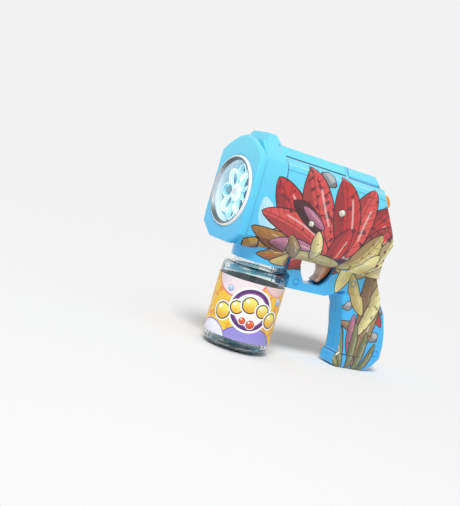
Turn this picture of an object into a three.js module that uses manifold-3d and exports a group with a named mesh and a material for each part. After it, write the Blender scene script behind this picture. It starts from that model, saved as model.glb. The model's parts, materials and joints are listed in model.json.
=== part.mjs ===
// Bubble gun: a battery toy that pumps soap solution onto a turning wheel and blows air through it.
// Millimetres, +Z up. The muzzle points to -X and the gun's left side is -Y.
// The origin is the middle of the bottle's base, on the surface that the gun stands on.
import * as THREE from 'three';
import { mergeVertices } from 'three/addons/utils/BufferGeometryUtils.js';
import Module from 'manifold-3d';

const wasm = await Module();
wasm.setup();

// Clearances and walls
const GAP = 0.3; // between neighbouring pieces
const OVERRUN = 3; // how far a cutting tool runs past the face that it cuts
const WALL = 2; // shell wall
const SIDES = 32; // sides of a large round piece
const MEDIUM_SIDES = 24; // sides of a button-sized round piece
const SMALL_SIDES = 12; // sides of a pin or a screw
const WIRE_SIDES = 5; // sides of a spring's wire
const COIL_STEPS = 8; // straight steps in one turn of a spring
const CORNER_STEPS = 4; // straight steps round the button's corner

// Barrel: x, z are its lower front corner, seen from the side
const BODY = { x: -34, z: 79, length: 150.5, height: 78.2, halfWidth: 27 };
const AXIS_RISE = 36.5; // from the barrel's floor to the bubble wheel's axis
const AXIS_Z = BODY.z + AXIS_RISE;
const rearFaceShares = [[0.97, 0.5026], [0.832, 0.886]]; // the sloping rear face, which carries the button
const bodySideShares = [
  [0, 0], [0.967, 0], [0.9635, 0.115], [0.9688, 0.2366], [1, 0.3734], ...rearFaceShares,
  [0.796, 0.9], [0.7694, 0.953], [0.7425, 1], [0, 1],
];
const floorEdgeShare = [0.55, 0]; // section: the edge of the flat floor
const deckEdgeShare = [0.741, 0.914]; // section: the deck that the top cover lies on
const topEdgeShare = [0.53, 1];
const bodySectionShares = [
  floorEdgeShare, [0.96, 0.121], [1, 0.211], [1, 0.8], [0.963, 0.85], deckEdgeShare, topEdgeShare,
];
const REAR_BEVEL = { halfWidth: 12, slopeShare: 0.92 }; // the rear draws in towards both sides

// Raised block behind the muzzle, on top of the barrel
const BLOCK = { x: -34, z: 145.5, length: 18, height: 18, halfWidth: 26 };
const blockSideShares = [[0, 0], [1, 0], [1, 0.33], [0.88, 0.67], [0.66, 1], [0.28, 1], [0.11, 0.44]];
const blockSectionShares = [[1, 0], [0.8, 0.3], [0.56, 0.72], [0.41, 1]];

// Room for the hose above the muzzle, behind the bezel
const INLET = { halfWidth: 7.5, length: 6, rise: 3.6 };

// Top cover
const COVER = { x: -21.2, length: 64.7, wall: 1.8 };
const coverShares = [[0.085, 0], [0.98, 0], [1, 1], [0, 1]];
const THUMB_PANEL = { x: 45.5, length: 32, height: 7.5, depth: 0.9 };

// Muzzle face
const BEZEL = { x: -40.5, depth: 6.2, z: 78.5, height: 80, rim: 2.2, wall: 2.2, face: 4.2, bevel: 1 };
const bezelShares = [
  [0.475, 0], [0.966, 0.1125], [1, 0.2], [1, 0.7875], [0.966, 0.831], [0.746, 0.894], [0.305, 0.975],
];

// White ring and its tube
const RING = { x: -41.8, r: 27, bore: 22.6, wall: 2.1, flange: 3.2, lip: 1.2, tube: 17.8 };

// Bubble wheel
const WHEEL = { x: -35.5, thick: 3, hub: 6, shaft: 1.5, cap: 2.5, nose: 2.2, petals: 8, petalSides: 20 };
const PETAL = { orbit: 13.4, radial: 8.2, across: 5.9, rim: 1.4 };

// Light board behind the wheel
const LIGHTS = { x: -27, thick: 1.4, hub: 7.5, arm: 7, count: 4, orbit: 15, r: 2.5, tall: 3.3 };

const domeShares = [[0, 0], [0.5, 0.167], [0.85, 0.5], [1, 1]]; // a lamp's dome, from its tip

// Air: chamber behind the wheel, duct over the gears, fan
const CHAMBER = { x: -23.7, length: 15.7, r: 24.6, wall: 1.4 };
const DUCT = { y: -4, width: 18, wall: 1.2, mouthZ: 119, mouthTall: 14, kneeX: 14, z: 128.9, tall: 18.6 };
const FAN = {
  x: 62, r: 20.4, reach: 20.7, rise: 0.4, wall: 1.3, rotor: 16.5, eye: 8, intake: 10, blades: 10, shaft: 1,
};
const INTAKE = { slots: 5, pitch: 4, half: 9, shrink: 1, tall: 1.6 }; // air slots in the right side
const BLADE = { thick: 1.1, disc: 1.4, hub: 3, side: 2 };

// Gears and gearbox. Places are given by centre distances and angles.
const MODULE = 1;
const TEETH = { wheel: 22, pump: 22, small: 8, large: 24, pinion: 8 };
const TOOTH = { tipHeight: 0.75, rootDepth: 1.15, rootShare: 0.27, tipShare: 0.09 };
const GEARBOX = { x: 16.3, plate: 1.5, gear: 3, right: 18, top: 128.4, pin: 1.2 };
const PUMP_ANGLE = -68;
const REDUCTION_ANGLE = 162;
const PINION_ANGLE = 116;
const MOTOR = { r: 10, flat: 7.5, length: 23.5, shaft: 1, boss: 3, bossTall: 1.2 };

// Hose pump
const PUMP = { x: 4.7, depth: 11, r: 12.3, wall: 1.1, back: 1.5, loop: 9.3, hose: 1.6 };
const ROTOR = { disc: 7, discThick: 1, hub: 3, shaft: 1.5, orbit: 5.4, roller: 2, rollers: 3 };

// Hose: its ends leave straight, and its way lies [along X, across, up] from the pump's axis
const HOSE = {
  steps: 64,
  loopSteps: 8,
  sides: 7,
  straight: 4.2,
  rise: [[0.5, -11.8, 1], [2.5, -13.3, 8], [7, -11.3, 10.5], [9.45, -9.3, 6]],
  climb: [
    [8, 11.3, 8], [5, 12.8, 17], [-1, 14.4, 28], [-6, 14.5, 36], [-13, 12.4, 43], [-21, 5.8, 50],
    [-25.5, -0.2, 55.5], [-29.4, -5.8, 57.2],
  ],
};

// Bottle, its socket and the seal
const BOTTLE = { r: 25.5, height: 65, wall: 1.4, base: 2.6, corner: 8, cornerSteps: 4, shoulder: 4 };
const NECK = { r: 17, height: 12, wall: 1.5, bead: 18, beadTall: 2 };
const LABEL = { z: 9.9, height: 44.8, thick: 0.35 };
const SOCKET = {
  drop: 9.5, r: 22, taper: 0.6, flange: 24.5, flangeTall: 1, skirt: 1.6, skirtFrom: 18.4, skirtTop: 6, hole: 7,
};
const SEAL = { r: 16.4, hole: 6.5, tall: 2 };

// Liquid's way
const DIP_TUBE = { r: 2, bore: 1.2, z: 7, above: 3.2 };
const FILTER = { r: 3.6, tall: 6, z: 5 };
const DRIP_NOZZLE = { r: 2, flange: 3.4, flangeTall: 1.2, x: -31.2, tall: 4.2, gap: 0.8 };
const TRAY = { x: -33, length: 8.2, halfWidth: 12, tall: 6.4, wall: 1.2 };

// Finger guard, neck and grip
const GUARD = { x: 22.6, z: 54.5, length: 60, height: 25.5, halfWidth: 8.8 };
const guardShares = [
  [0.063, 0.02], [0.71, 0.028], [0.98, 0.318], [1, 0.318], [1, 1], [0, 1], [0, 0.5], [0.063, 0.4],
];
const openingShares = [
  [0.307, 0.286], [0.573, 0.286], [0.657, 0.45], [0.72, 0.72], [0.773, 1.1], [0.182, 1.1],
  [0.182, 0.8], [0.223, 0.55],
];
const THROAT = { x: 70.8, z: 56, length: 52.2, height: 24, halfWidth: 8.8 };
const throatShares = [
  [0.203, 0.275], [0.253, 0.275], [0.253, 0], [0.962, 0], [1, 0.25], [0.837, 0.79],
  [0.782, 1], [0, 1], [0, 0.417],
];
const shaftShares = [0.04, 0.75]; // the opening between the throat and the barrel, along the throat
const GRIP = { x: 81, z: 0, length: 59.5, height: 62, halfWidth: 11, bevel: 3, bevelSteps: 3 };
const gripFrontShares = [[0.081, 0.795], [0.208, 0.365]]; // the front leans between these
const gripShares = [
  [0.269, 0], [0.756, 0], [0.897, 0.081], [1, 0.208], [0.987, 0.392], [0.945, 0.569], [0.832, 0.827],
  [0.672, 1], [0.084, 1], [0, 0.952], [0.017, 0.895], gripFrontShares[0], [0.121, 0.644], [0.17, 0.516],
  gripFrontShares[1],
  [0.225, 0.208], [0.176, 0.161], [0.176, 0.08], [0.2, 0.024],
];
const FOOT_SEAM = { share: 0.185, length: 36, wide: 0.8, deep: 0.7 };

// Battery door in the right side of the grip
const DOOR = { thick: 1.8, ledge: 2, seat: 2, tabWide: 6, tabDrop: 1.5, tabThick: 1.2, tabRise: 3 };
const doorShares = [
  [0.311, 0.105], [0.68, 0.105], [0.75, 0.153], [0.775, 0.24], [0.782, 0.48], [0.77, 0.68], [0.72, 0.82],
  [0.655, 0.903], [0.16, 0.903], [0.134, 0.855], [0.173, 0.758], [0.21, 0.637], [0.257, 0.508],
  [0.294, 0.363], [0.308, 0.21],
];
const tabShares = [0.38, 0.62]; // places of the door's two tabs along the grip

// Screws
const SCREW = {
  head: 2.6, headTall: 1.8, shank: 1.35, recess: 3, recessDeep: 3.2, boss: 3.2, tip: 5.5, slot: 0.7,
  armShare: 0.7,
};
const doorScrewShare = [0.684, 0.673]; // its place in the grip's outline
const DOOR_SCREW = { boss: 2.9, bossTall: 13, grip: 2.5, play: 0.5, well: 5 };

// Batteries, in a frame that leans with the grip
const CELL = { r: 5.25, length: 43.7, nub: 1.9, nubTall: 0.8, pitch: 10.8, count: 2, sides: 20 };
const BOX = { wall: 1, end: 2.25, depth: 6.6 };
const boxPlaceShare = [0.477, 0.5]; // its middle, in the grip's outline
const BOX_LEAN_SHARE = 0.66; // of the lean of the grip's front
const ribHeightShares = [0.3, 0.62]; // ribs on the grip's left wall, behind the box
const ribEndShares = [0.3, 0.75];
const CONTACT = { thick: 0.4, wide: 8, halfDeep: 3.6 };

// Trigger
const TRIGGER = {
  x: 54, z: 64, length: 17, height: 20, halfWidth: 5, eye: 4, pivotX: 66, pivotZ: 92, side: 0.9, swing: 5.4,
};
const triggerShares = [
  [0.11, 0], [0.26, 0.02], [0.53, 0.27], [0.76, 0.58], [0.97, 0.78], [1, 1], [0.55, 1], [0.1, 0.82],
  [0.24, 0.45], [0.2, 0.25], [0, 0.06],
];
const armShares = [[0.55, 0.97], [1, 0.97]];
const PIN = { r: 1.5, half: 9, boss: 3.4 };
const TRIGGER_SPRING = { r: 2, wire: 0.4, turns: 5, z: 75.2, x: 69.2, length: 9.6 };
const TRIGGER_SWITCH = { x: 73.4, length: 7, z: 80.6, tall: 6, halfWidth: 3.2, key: 0.9, keyR: 1 };
const RIB = { x: 79.2, thick: 1.6, z: 71.2, tall: 8, right: 3.5 };

// Rear button, in a frame on the sloping rear face: X out of the face, Z up along it
const BUTTON = {
  alongShare: 0.68, halfWide: 7, tall: 11, out: 7.5, round: 3, flange: 1.5, flangeThick: 1.6, stem: 1.5,
};
const BUTTON_SWITCH = { drop: 7, halfWidth: 4, tall: 8, deep: 5 };
const BUTTON_SPRING = { r: 3, wire: 0.4, turns: 3 };
const BUTTON_TRAVEL = 2;

// Control board
const BOARD = { x: 80, length: 17, z: 101, height: 16, y: -19, thick: 1.5, chip: 5, chipTall: 1.6 };
const boardPostShares = [0.2, 0.8];

// Posts that hold the fan, the board and the switches
const POST = { r: 2.4 };
const fanPostShares = [[0.64, -0.56], [-0.64, 0.5]];

const blue = () => new THREE.MeshStandardMaterial({ color: 0x4fbdf2, roughness: 0.32, metalness: 0 });
const white = () => new THREE.MeshStandardMaterial({ color: 0xf1f4f7, roughness: 0.3, metalness: 0 });
const grey = () => new THREE.MeshStandardMaterial({ color: 0x9aa3aa, roughness: 0.45, metalness: 0 });
const orange = () => new THREE.MeshStandardMaterial({ color: 0xf2a033, roughness: 0.35, metalness: 0 });
const amber = () => new THREE.MeshStandardMaterial({ color: 0xa9622f, roughness: 0.35, metalness: 0 });
const steel = () => new THREE.MeshStandardMaterial({ color: 0xb9bec4, roughness: 0.3, metalness: 1 });
const green = () => new THREE.MeshStandardMaterial({ color: 0x2d7a4a, roughness: 0.5, metalness: 0 });
const rubber = () => new THREE.MeshStandardMaterial({ color: 0x30343a, roughness: 0.8, metalness: 0 });
const yellow = () => new THREE.MeshStandardMaterial({ color: 0xf0c22c, roughness: 0.4, metalness: 0 });
const glassy = () => new THREE.MeshStandardMaterial({
  color: 0xd9f2f6, roughness: 0.08, metalness: 0, transparent: true, opacity: 0.4,
});

const model = new THREE.Group();

// Adds one named piece to a group.
function piece(name, shape, material, parent = model) {
  const geometry = shape.isBufferGeometry ? shape : geometryOf(shape);
  const mesh = new THREE.Mesh(geometry, material);
  mesh.name = name;
  parent.add(mesh);
  return mesh;
}

// Closed geometry to a solid: vertices welded, empty triangles dropped, faces turned outwards.
function solid(geometry) {
  const bare = new THREE.BufferGeometry();
  bare.setAttribute('position', geometry.getAttribute('position').clone());
  if (geometry.index) bare.setIndex(geometry.index.clone());
  const welded = mergeVertices(bare);
  const place = welded.getAttribute('position');
  const index = welded.index.array;
  const corners = [];
  let volume = 0;
  const [a, b, c] = [new THREE.Vector3(), new THREE.Vector3(), new THREE.Vector3()];
  for (let i = 0; i < index.length; i += 3) {
    const [p, q, r] = [index[i], index[i + 1], index[i + 2]];
    if (p === q || q === r || r === p) continue;
    corners.push(p, q, r);
    b.fromBufferAttribute(place, q).cross(c.fromBufferAttribute(place, r));
    volume += a.fromBufferAttribute(place, p).dot(b);
  }
  if (volume < 0) corners.reverse();
  return new wasm.Manifold(new wasm.Mesh({
    numProp: 3, vertProperties: new Float32Array(place.array), triVerts: new Uint32Array(corners),
  }));
}

function geometryOf(manifold) {
  const mesh = manifold.getMesh();
  const geometry = new THREE.BufferGeometry();
  geometry.setAttribute('position', new THREE.BufferAttribute(new Float32Array(mesh.vertProperties), 3));
  geometry.setIndex(new THREE.BufferAttribute(new Uint32Array(mesh.triVerts), 1));
  geometry.computeVertexNormals();
  return geometry;
}

const join = (first, ...others) => others.reduce((sum, other) => sum.add(other), first);
const cut = (first, ...tools) => tools.reduce((rest, tool) => rest.subtract(tool), first);
const common = (first, ...others) => others.reduce((rest, other) => rest.intersect(other), first);

// Outlines
const at = (box, [u, v]) => new THREE.Vector2(box.x + u * box.length, box.z + v * box.height);
const outline = (box, shares) => shares.map((share) => at(box, share));

// A section that is alike on both sides: shares of the half width and of the height.
function section(box, shares) {
  const right = shares.map(([u, v]) => new THREE.Vector2(u * box.halfWidth, box.z + v * box.height));
  const left = right.map((p) => new THREE.Vector2(-p.x, p.y)).reverse();
  return [...right, ...left];
}

// Moves every edge of a closed outline outwards by the same distance.
function grow(points, by) {
  const turned = THREE.ShapeUtils.isClockWise(points) ? [...points].reverse() : points;
  return turned.map((point, i) => {
    const before = turned[(i + turned.length - 1) % turned.length];
    const after = turned[(i + 1) % turned.length];
    const normals = [[before, point], [point, after]].map(([from, to]) => {
      const along = to.clone().sub(from).normalize();
      return new THREE.Vector2(along.y, -along.x);
    });
    const reach = by / (1 + normals[0].dot(normals[1]));
    return point.clone().add(normals[0].clone().add(normals[1]).multiplyScalar(reach));
  });
}

function ring(radius, sides, across = radius, middle = [0, 0], turn = 0) {
  const points = [];
  for (let i = 0; i < sides; i += 1) {
    const angle = turn + (2 * Math.PI * i) / sides;
    points.push(new THREE.Vector2(middle[0] + radius * Math.cos(angle), middle[1] + across * Math.sin(angle)));
  }
  return points;
}

// Solids from outlines
function extrude(points, depth, options = {}) {
  return new THREE.ExtrudeGeometry(new THREE.Shape(points), { depth, bevelEnabled: false, ...options });
}

// An outline in X and Z, extruded along Y.
function sideGeometry(points, low, high, bevel = 0, steps = 1) {
  const options = { bevelEnabled: bevel > 0, bevelSize: bevel, bevelThickness: bevel, bevelOffset: -bevel };
  const geometry = extrude(points, high - low - 2 * bevel, { ...options, bevelSegments: steps });
  return geometry.rotateX(Math.PI / 2).translate(0, high - bevel, 0);
}
const sidePlate = (...given) => solid(sideGeometry(...given));

// An outline in Y and Z, extruded along X.
function sectionBar(points, low, high, bevel = 0) {
  const options = { bevelEnabled: bevel > 0, bevelSize: bevel, bevelThickness: bevel, bevelOffset: -bevel };
  const geometry = extrude(points, high - low - 2 * bevel, { ...options, bevelSegments: 1 });
  const turn = new THREE.Matrix4().makeBasis(
    new THREE.Vector3(0, 1, 0), new THREE.Vector3(0, 0, 1), new THREE.Vector3(1, 0, 0),
  );
  return solid(geometry.applyMatrix4(turn).translate(low + bevel, 0, 0));
}

function block(low, high) {
  const size = high.map((value, i) => value - low[i]);
  const middle = high.map((value, i) => (value + low[i]) / 2);
  return solid(new THREE.BoxGeometry(...size).translate(...middle));
}

// A turned piece: profile points are [radius, place along the axis].
function turned(profile, axis, middle = [0, 0, 0], sides = SIDES) {
  const points = profile.map(([r, along]) => new THREE.Vector2(r, along));
  const geometry = new THREE.LatheGeometry(points, sides);
  if (axis === 'x') geometry.rotateZ(-Math.PI / 2);
  if (axis === 'z') geometry.rotateX(Math.PI / 2);
  return solid(geometry.translate(...middle));
}
const tubeProfile = (outer, inner, low, high) => [
  [inner, low], [outer, low], [outer, high], [inner, high], [inner, low],
];
const rodProfile = (r, low, high) => [[0, low], [r, low], [r, high], [0, high]];
const rod = (r, low, high, axis, middle, sides = SMALL_SIDES) => (
  turned(rodProfile(r, low, high), axis, middle, sides)
);
const tube = (outer, inner, low, high, axis, middle, sides = SIDES) => (
  turned(tubeProfile(outer, inner, low, high), axis, middle, sides)
);

// A round bar along a curve.
function bar(curve, radius, steps, sides) {
  const shape = new THREE.Shape(ring(radius, sides));
  return new THREE.ExtrudeGeometry(shape, { steps, extrudePath: curve, bevelEnabled: false });
}
const path = (points) => (
  new THREE.CatmullRomCurve3(points.map((p) => new THREE.Vector3(...p)), false, 'centripetal')
);

// A coil along Z from low to high, its wire round a straight axis.
class Coil extends THREE.Curve {
  constructor(radius, low, high, turns) {
    super();
    Object.assign(this, { radius, low, high, turns });
  }

  getPoint(t) {
    const angle = 2 * Math.PI * this.turns * t;
    const z = this.low + (this.high - this.low) * t;
    return new THREE.Vector3(this.radius * Math.cos(angle), this.radius * Math.sin(angle), z);
  }
}
const coil = (radius, wire, low, high, turns) => (
  bar(new Coil(radius, low + wire, high - wire, turns), wire, turns * COIL_STEPS, WIRE_SIDES)
);

const radians = THREE.MathUtils.degToRad;
const polar = ([y, z], distance, degrees) => [
  y + distance * Math.cos(radians(degrees)), z + distance * Math.sin(radians(degrees)),
];

// Gears
const pitchRadius = (teeth) => (MODULE * teeth) / 2;

function gearOutline(teeth, phase) {
  const pitch = (2 * Math.PI) / teeth;
  const root = pitchRadius(teeth) - TOOTH.rootDepth * MODULE;
  const tip = pitchRadius(teeth) + TOOTH.tipHeight * MODULE;
  const points = [];
  for (let i = 0; i < teeth; i += 1) {
    const middle = phase + i * pitch;
    const flanks = [
      [root, -TOOTH.rootShare], [tip, -TOOTH.tipShare], [tip, TOOTH.tipShare], [root, TOOTH.rootShare],
    ];
    for (const [r, share] of flanks) {
      const angle = middle + share * pitch;
      points.push(new THREE.Vector2(r * Math.cos(angle), r * Math.sin(angle)));
    }
  }
  return points;
}

// The phase that puts a gap of the second gear on a tooth of the first, at the given direction between them.
function meshPhase(degrees, teethA, phaseA, teethB) {
  const direction = radians(degrees);
  const pitchA = (2 * Math.PI) / teethA;
  const pitchB = (2 * Math.PI) / teethB;
  const share = (direction - phaseA) / pitchA;
  return direction + Math.PI - pitchB * (0.5 - share);
}

const gear = (teeth, phase, x, [y, z]) => (
  sectionBar(gearOutline(teeth, phase), x, x + GEARBOX.gear).translate([0, y, z])
);

const WHEEL_AT = [0, AXIS_Z];
const PUMP_AT = polar(WHEEL_AT, pitchRadius(TEETH.wheel) + pitchRadius(TEETH.pump), PUMP_ANGLE);
const REDUCTION_AT = polar(PUMP_AT, pitchRadius(TEETH.pump) + pitchRadius(TEETH.small), REDUCTION_ANGLE);
const PINION_AT = polar(REDUCTION_AT, pitchRadius(TEETH.large) + pitchRadius(TEETH.pinion), PINION_ANGLE);
const PUMP_PHASE = meshPhase(PUMP_ANGLE, TEETH.wheel, 0, TEETH.pump);
const SMALL_PHASE = meshPhase(REDUCTION_ANGLE, TEETH.pump, PUMP_PHASE, TEETH.small);
const PINION_PHASE = meshPhase(PINION_ANGLE, TEETH.large, 0, TEETH.pinion);
const GEAR_A = GEARBOX.x + GEARBOX.plate + 2 * GAP; // first row of gears
const GEAR_B = GEAR_A + GEARBOX.gear + 2 * GAP; // second row
const REAR_PLATE = GEAR_B + GEARBOX.gear + 2 * GAP;
const MOTOR_X = REAR_PLATE + GEARBOX.plate + GAP;

// Outlines that several pieces share
const bodySide = outline(BODY, bodySideShares);
const bodySection = section(BODY, bodySectionShares);
const bodyTop = BODY.z + BODY.height;
const floorTop = BODY.z + WALL;
const deck = BODY.z + deckEdgeShare[1] * BODY.height;
const gripOutline = outline(GRIP, gripShares);
const doorOutline = outline(GRIP, doorShares);
const doorSkin = GRIP.halfWidth - DOOR.thick;
const doorSeatY = doorSkin - GAP;
const gripRightInner = doorSeatY - DOOR.seat;
const doorHingeZ = GRIP.z + doorShares[0][1] * GRIP.height;
const [rearLow, rearHigh] = outline(BODY, rearFaceShares);
const rearUp = rearHigh.clone().sub(rearLow).normalize();
const buttonAt = rearLow.clone().lerp(rearHigh, BUTTON.alongShare);
const buttonFrame = new THREE.Matrix4().makeBasis(
  new THREE.Vector3(rearUp.y, 0, -rearUp.x),
  new THREE.Vector3(0, 1, 0),
  new THREE.Vector3(rearUp.x, 0, rearUp.y),
).setPosition(buttonAt.x, 0, buttonAt.y);
const screwPlaces = {
  web: at(GUARD, [0.188, 0.267]), throat: at(THROAT, [0.366, 0.583]), grip: at(GRIP, [0.862, 0.271]),
  rear: at(BODY, [0.824, 0.166]), front: at(BODY, [0.206, 0.838]),
};
const doorScrewAt = at(GRIP, doorScrewShare);
const [frontHigh, frontLow] = outline(GRIP, gripFrontShares);
const boxLean = BOX_LEAN_SHARE * Math.atan2(frontLow.x - frontHigh.x, frontHigh.y - frontLow.y);
const dipTop = floorTop + DIP_TUBE.above;
const neckTop = BOTTLE.height + NECK.height;
const fanAt = [FAN.x, DUCT.z + DUCT.tall + FAN.rise - FAN.r];

// Half width of the outside where a screw enters.
function sideAt(name) {
  if (name === 'web') return GUARD.halfWidth;
  if (name === 'throat') return THROAT.halfWidth;
  return name === 'grip' ? GRIP.halfWidth : BODY.halfWidth;
}

// The barrel's outside or, with a wall, its hollow. Its rear draws in towards both sides.
function bodySolid(wall, front) {
  const side = grow(bodySide, -wall);
  const width = BODY.halfWidth - wall;
  const straight = sidePlate(side, -width, width);
  const bevels = [-1, 1].map((hand) => {
    const lean = new THREE.Matrix4().set(
      1, -hand * REAR_BEVEL.slopeShare, 0, REAR_BEVEL.slopeShare * REAR_BEVEL.halfWidth,
      0, 1, 0, 0, 0, 0, 1, 0, 0, 0, 0, 1,
    );
    const leaning = sideGeometry(side, -BODY.halfWidth, BODY.halfWidth).applyMatrix4(lean);
    return join(solid(leaning), block(
      [BODY.x - BODY.length, -BODY.halfWidth, BODY.z], [BODY.x + BODY.length / 2, BODY.halfWidth, bodyTop],
    ));
  });
  const bar = sectionBar(grow(bodySection, -wall), front, BODY.x + BODY.length);
  return common(straight, ...bevels, bar);
}

function blockSolid(wall) {
  const side = sidePlate(grow(outline(BLOCK, blockSideShares), -wall), -BLOCK.halfWidth, BLOCK.halfWidth);
  const across = sectionBar(grow(section(BLOCK, blockSectionShares), -wall), BLOCK.x, BLOCK.x + BLOCK.length);
  const whole = common(side, across);
  return wall ? join(whole, whole.translate([0, 0, -2 * wall])) : whole;
}

function barrelHollow() {
  const main = bodySolid(WALL, BODY.x - OVERRUN);
  const mouth = sectionBar(grow(bodySection, -WALL), BODY.x - OVERRUN, BODY.x + WALL + OVERRUN);
  const slab = block(
    [COVER.x - WALL, -BODY.halfWidth, deck - WALL], [COVER.x + COVER.length + WALL, BODY.halfWidth, bodyTop],
  );
  const front = block(
    [BODY.x - OVERRUN, -BODY.halfWidth, deck - WALL], [COVER.x, BODY.halfWidth, bodyTop],
  );
  const inlet = block(
    [BODY.x - OVERRUN, -INLET.halfWidth, deck - 2 * WALL],
    [BODY.x + INLET.length, INLET.halfWidth, deck + INLET.rise],
  );
  return join(cut(join(main, mouth), slab, front), blockSolid(WALL), inlet);
}

// Finger guard, throat and grip
function guardSolid(wall) {
  const half = GUARD.halfWidth - wall;
  return sidePlate(grow(outline(GUARD, guardShares), -wall), -half, half);
}

function throatSolid(wall) {
  const half = THROAT.halfWidth - wall;
  return sidePlate(grow(outline(THROAT, throatShares), -wall), -half, half);
}

const openingTool = (wall) => sidePlate(
  grow(outline(GUARD, openingShares), wall), -THROAT.halfWidth - OVERRUN, THROAT.halfWidth + OVERRUN,
);

function handleHollow() {
  const openWall = openingTool(WALL);
  const grip = sidePlate(grow(gripOutline, -WALL), WALL - GRIP.halfWidth, gripRightInner);
  const shaft = block(
    [THROAT.x + shaftShares[0] * THROAT.length, WALL - THROAT.halfWidth, BODY.z - OVERRUN],
    [THROAT.x + shaftShares[1] * THROAT.length, THROAT.halfWidth - WALL, floorTop + WALL],
  );
  return join(cut(join(guardSolid(WALL), throatSolid(WALL)), openWall), grip, shaft);
}

function gripOuter() {
  return sidePlate(gripOutline, -GRIP.halfWidth, GRIP.halfWidth, GRIP.bevel, GRIP.bevelSteps);
}

// Cuts that both halves share: the cover's seat, trigger slot, socket's hole, button's hole, grooves.
function shellCuts() {
  const cover = sidePlate(
    grow(coverOutline(), GAP), -BODY.halfWidth, BODY.halfWidth,
  );
  const half = TRIGGER.halfWidth + TRIGGER.side;
  const slot = block(
    [TRIGGER.x, -half, TRIGGER.z - 2 * TRIGGER.side],
    [TRIGGER.x + TRIGGER.length + TRIGGER.swing, half, floorTop + WALL],
  );
  const skirtRoom = floorTop + SOCKET.skirtTop + GAP;
  const socket = rod(SOCKET.r + GAP, BODY.z - OVERRUN, skirtRoom, 'z', [0, 0, 0], SIDES);
  const { halfWide, tall, round, out } = BUTTON;
  const buttonWay = roundedBar(halfWide + GAP, tall / 2 + GAP, round, -2 * OVERRUN, out);
  const button = solid(buttonWay.applyMatrix4(buttonFrame));
  return [cover, slot, socket, button, ...grooves(), ...thumbPanels()];
}

function coverOutline() {
  const low = deck + GAP;
  return outline({ x: COVER.x, length: COVER.length, z: low, height: bodyTop - low }, coverShares);
}

// Seam lines and round marks that are sunk into the outside.
function grooves() {
  const z = GRIP.z + FOOT_SEAM.share * GRIP.height;
  const seams = [-1, 1].map((hand) => {
    const [inner, outer] = [GRIP.halfWidth - FOOT_SEAM.deep, GRIP.halfWidth + OVERRUN].map((y) => hand * y);
    return block(
      [GRIP.x, Math.min(inner, outer), z - FOOT_SEAM.wide / 2],
      [GRIP.x + FOOT_SEAM.length, Math.max(inner, outer), z + FOOT_SEAM.wide / 2],
    );
  });
  const marks = ['web', 'throat', 'grip'].map((name) => {
    const side = sideAt(name);
    return tube(
      SCREW.recess, SCREW.recess - FOOT_SEAM.wide, -side - OVERRUN, FOOT_SEAM.deep - side, 'y',
      [screwPlaces[name].x, 0, screwPlaces[name].y], SIDES / 2,
    );
  });
  return [...seams, ...marks];
}

function thumbPanels() {
  const low = bodyTop - THUMB_PANEL.height;
  const halfWidth = topEdgeShare[0] * BODY.halfWidth - THUMB_PANEL.depth;
  const lowHalfWidth = deckEdgeShare[0] * BODY.halfWidth - THUMB_PANEL.depth;
  return [-1, 1].map((hand) => {
    const points = [
      [halfWidth, bodyTop + OVERRUN], [halfWidth, bodyTop], [lowHalfWidth, low],
      [BODY.halfWidth, low], [BODY.halfWidth, bodyTop + OVERRUN],
    ].map(([y, z]) => new THREE.Vector2(hand * y, z));
    return sectionBar(points, THUMB_PANEL.x, THUMB_PANEL.x + THUMB_PANEL.length);
  });
}

// A bar with rounded corners along X: the button's cap, flange and hole.
function roundedBar(halfWide, halfTall, round, low, high) {
  const shape = new THREE.Shape();
  const [w, h] = [halfWide - round, halfTall - round];
  shape.absarc(w, h, round, 0, Math.PI / 2).absarc(-w, h, round, Math.PI / 2, Math.PI);
  shape.absarc(-w, -h, round, Math.PI, 1.5 * Math.PI).absarc(w, -h, round, 1.5 * Math.PI, 2 * Math.PI);
  const geometry = new THREE.ExtrudeGeometry(shape, {
    depth: high - low, bevelEnabled: false, curveSegments: CORNER_STEPS,
  });
  const turn = new THREE.Matrix4().makeBasis(
    new THREE.Vector3(0, 1, 0), new THREE.Vector3(0, 0, 1), new THREE.Vector3(1, 0, 0),
  );
  return geometry.applyMatrix4(turn).translate(low, 0, 0);
}

function shellOuter() {
  const handle = cut(join(guardSolid(0), throatSolid(0)), openingTool(0));
  return join(bodySolid(0, BODY.x), blockSolid(0), handle, gripOuter());
}

// A post that stands on a shell's inner wall and reaches to the given y.
function post(hand, r, [x, z], tip, root) {
  const [low, high] = [Math.min(hand * tip, hand * root), Math.max(hand * tip, hand * root)];
  return rod(r, low, high, 'y', [x, 0, z]);
}

const fanPosts = fanPostShares.map(([u, v]) => [FAN.x + u * FAN.r, fanAt[1] + v * FAN.r]);
const boardPosts = boardPostShares.map((share) => (
  [BOARD.x + share * BOARD.length, BOARD.z + BOARD.height / 2]
));
const switchPost = [TRIGGER_SWITCH.x + TRIGGER_SWITCH.length / 2, TRIGGER_SWITCH.z + TRIGGER_SWITCH.tall / 2];
const buttonSwitchAt = new THREE.Vector3(-BUTTON_SWITCH.drop - BUTTON_SWITCH.deep / 2 - WALL, 0, 0)
  .applyMatrix4(buttonFrame);
const bodyRoot = BODY.halfWidth - WALL / 2;

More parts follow.
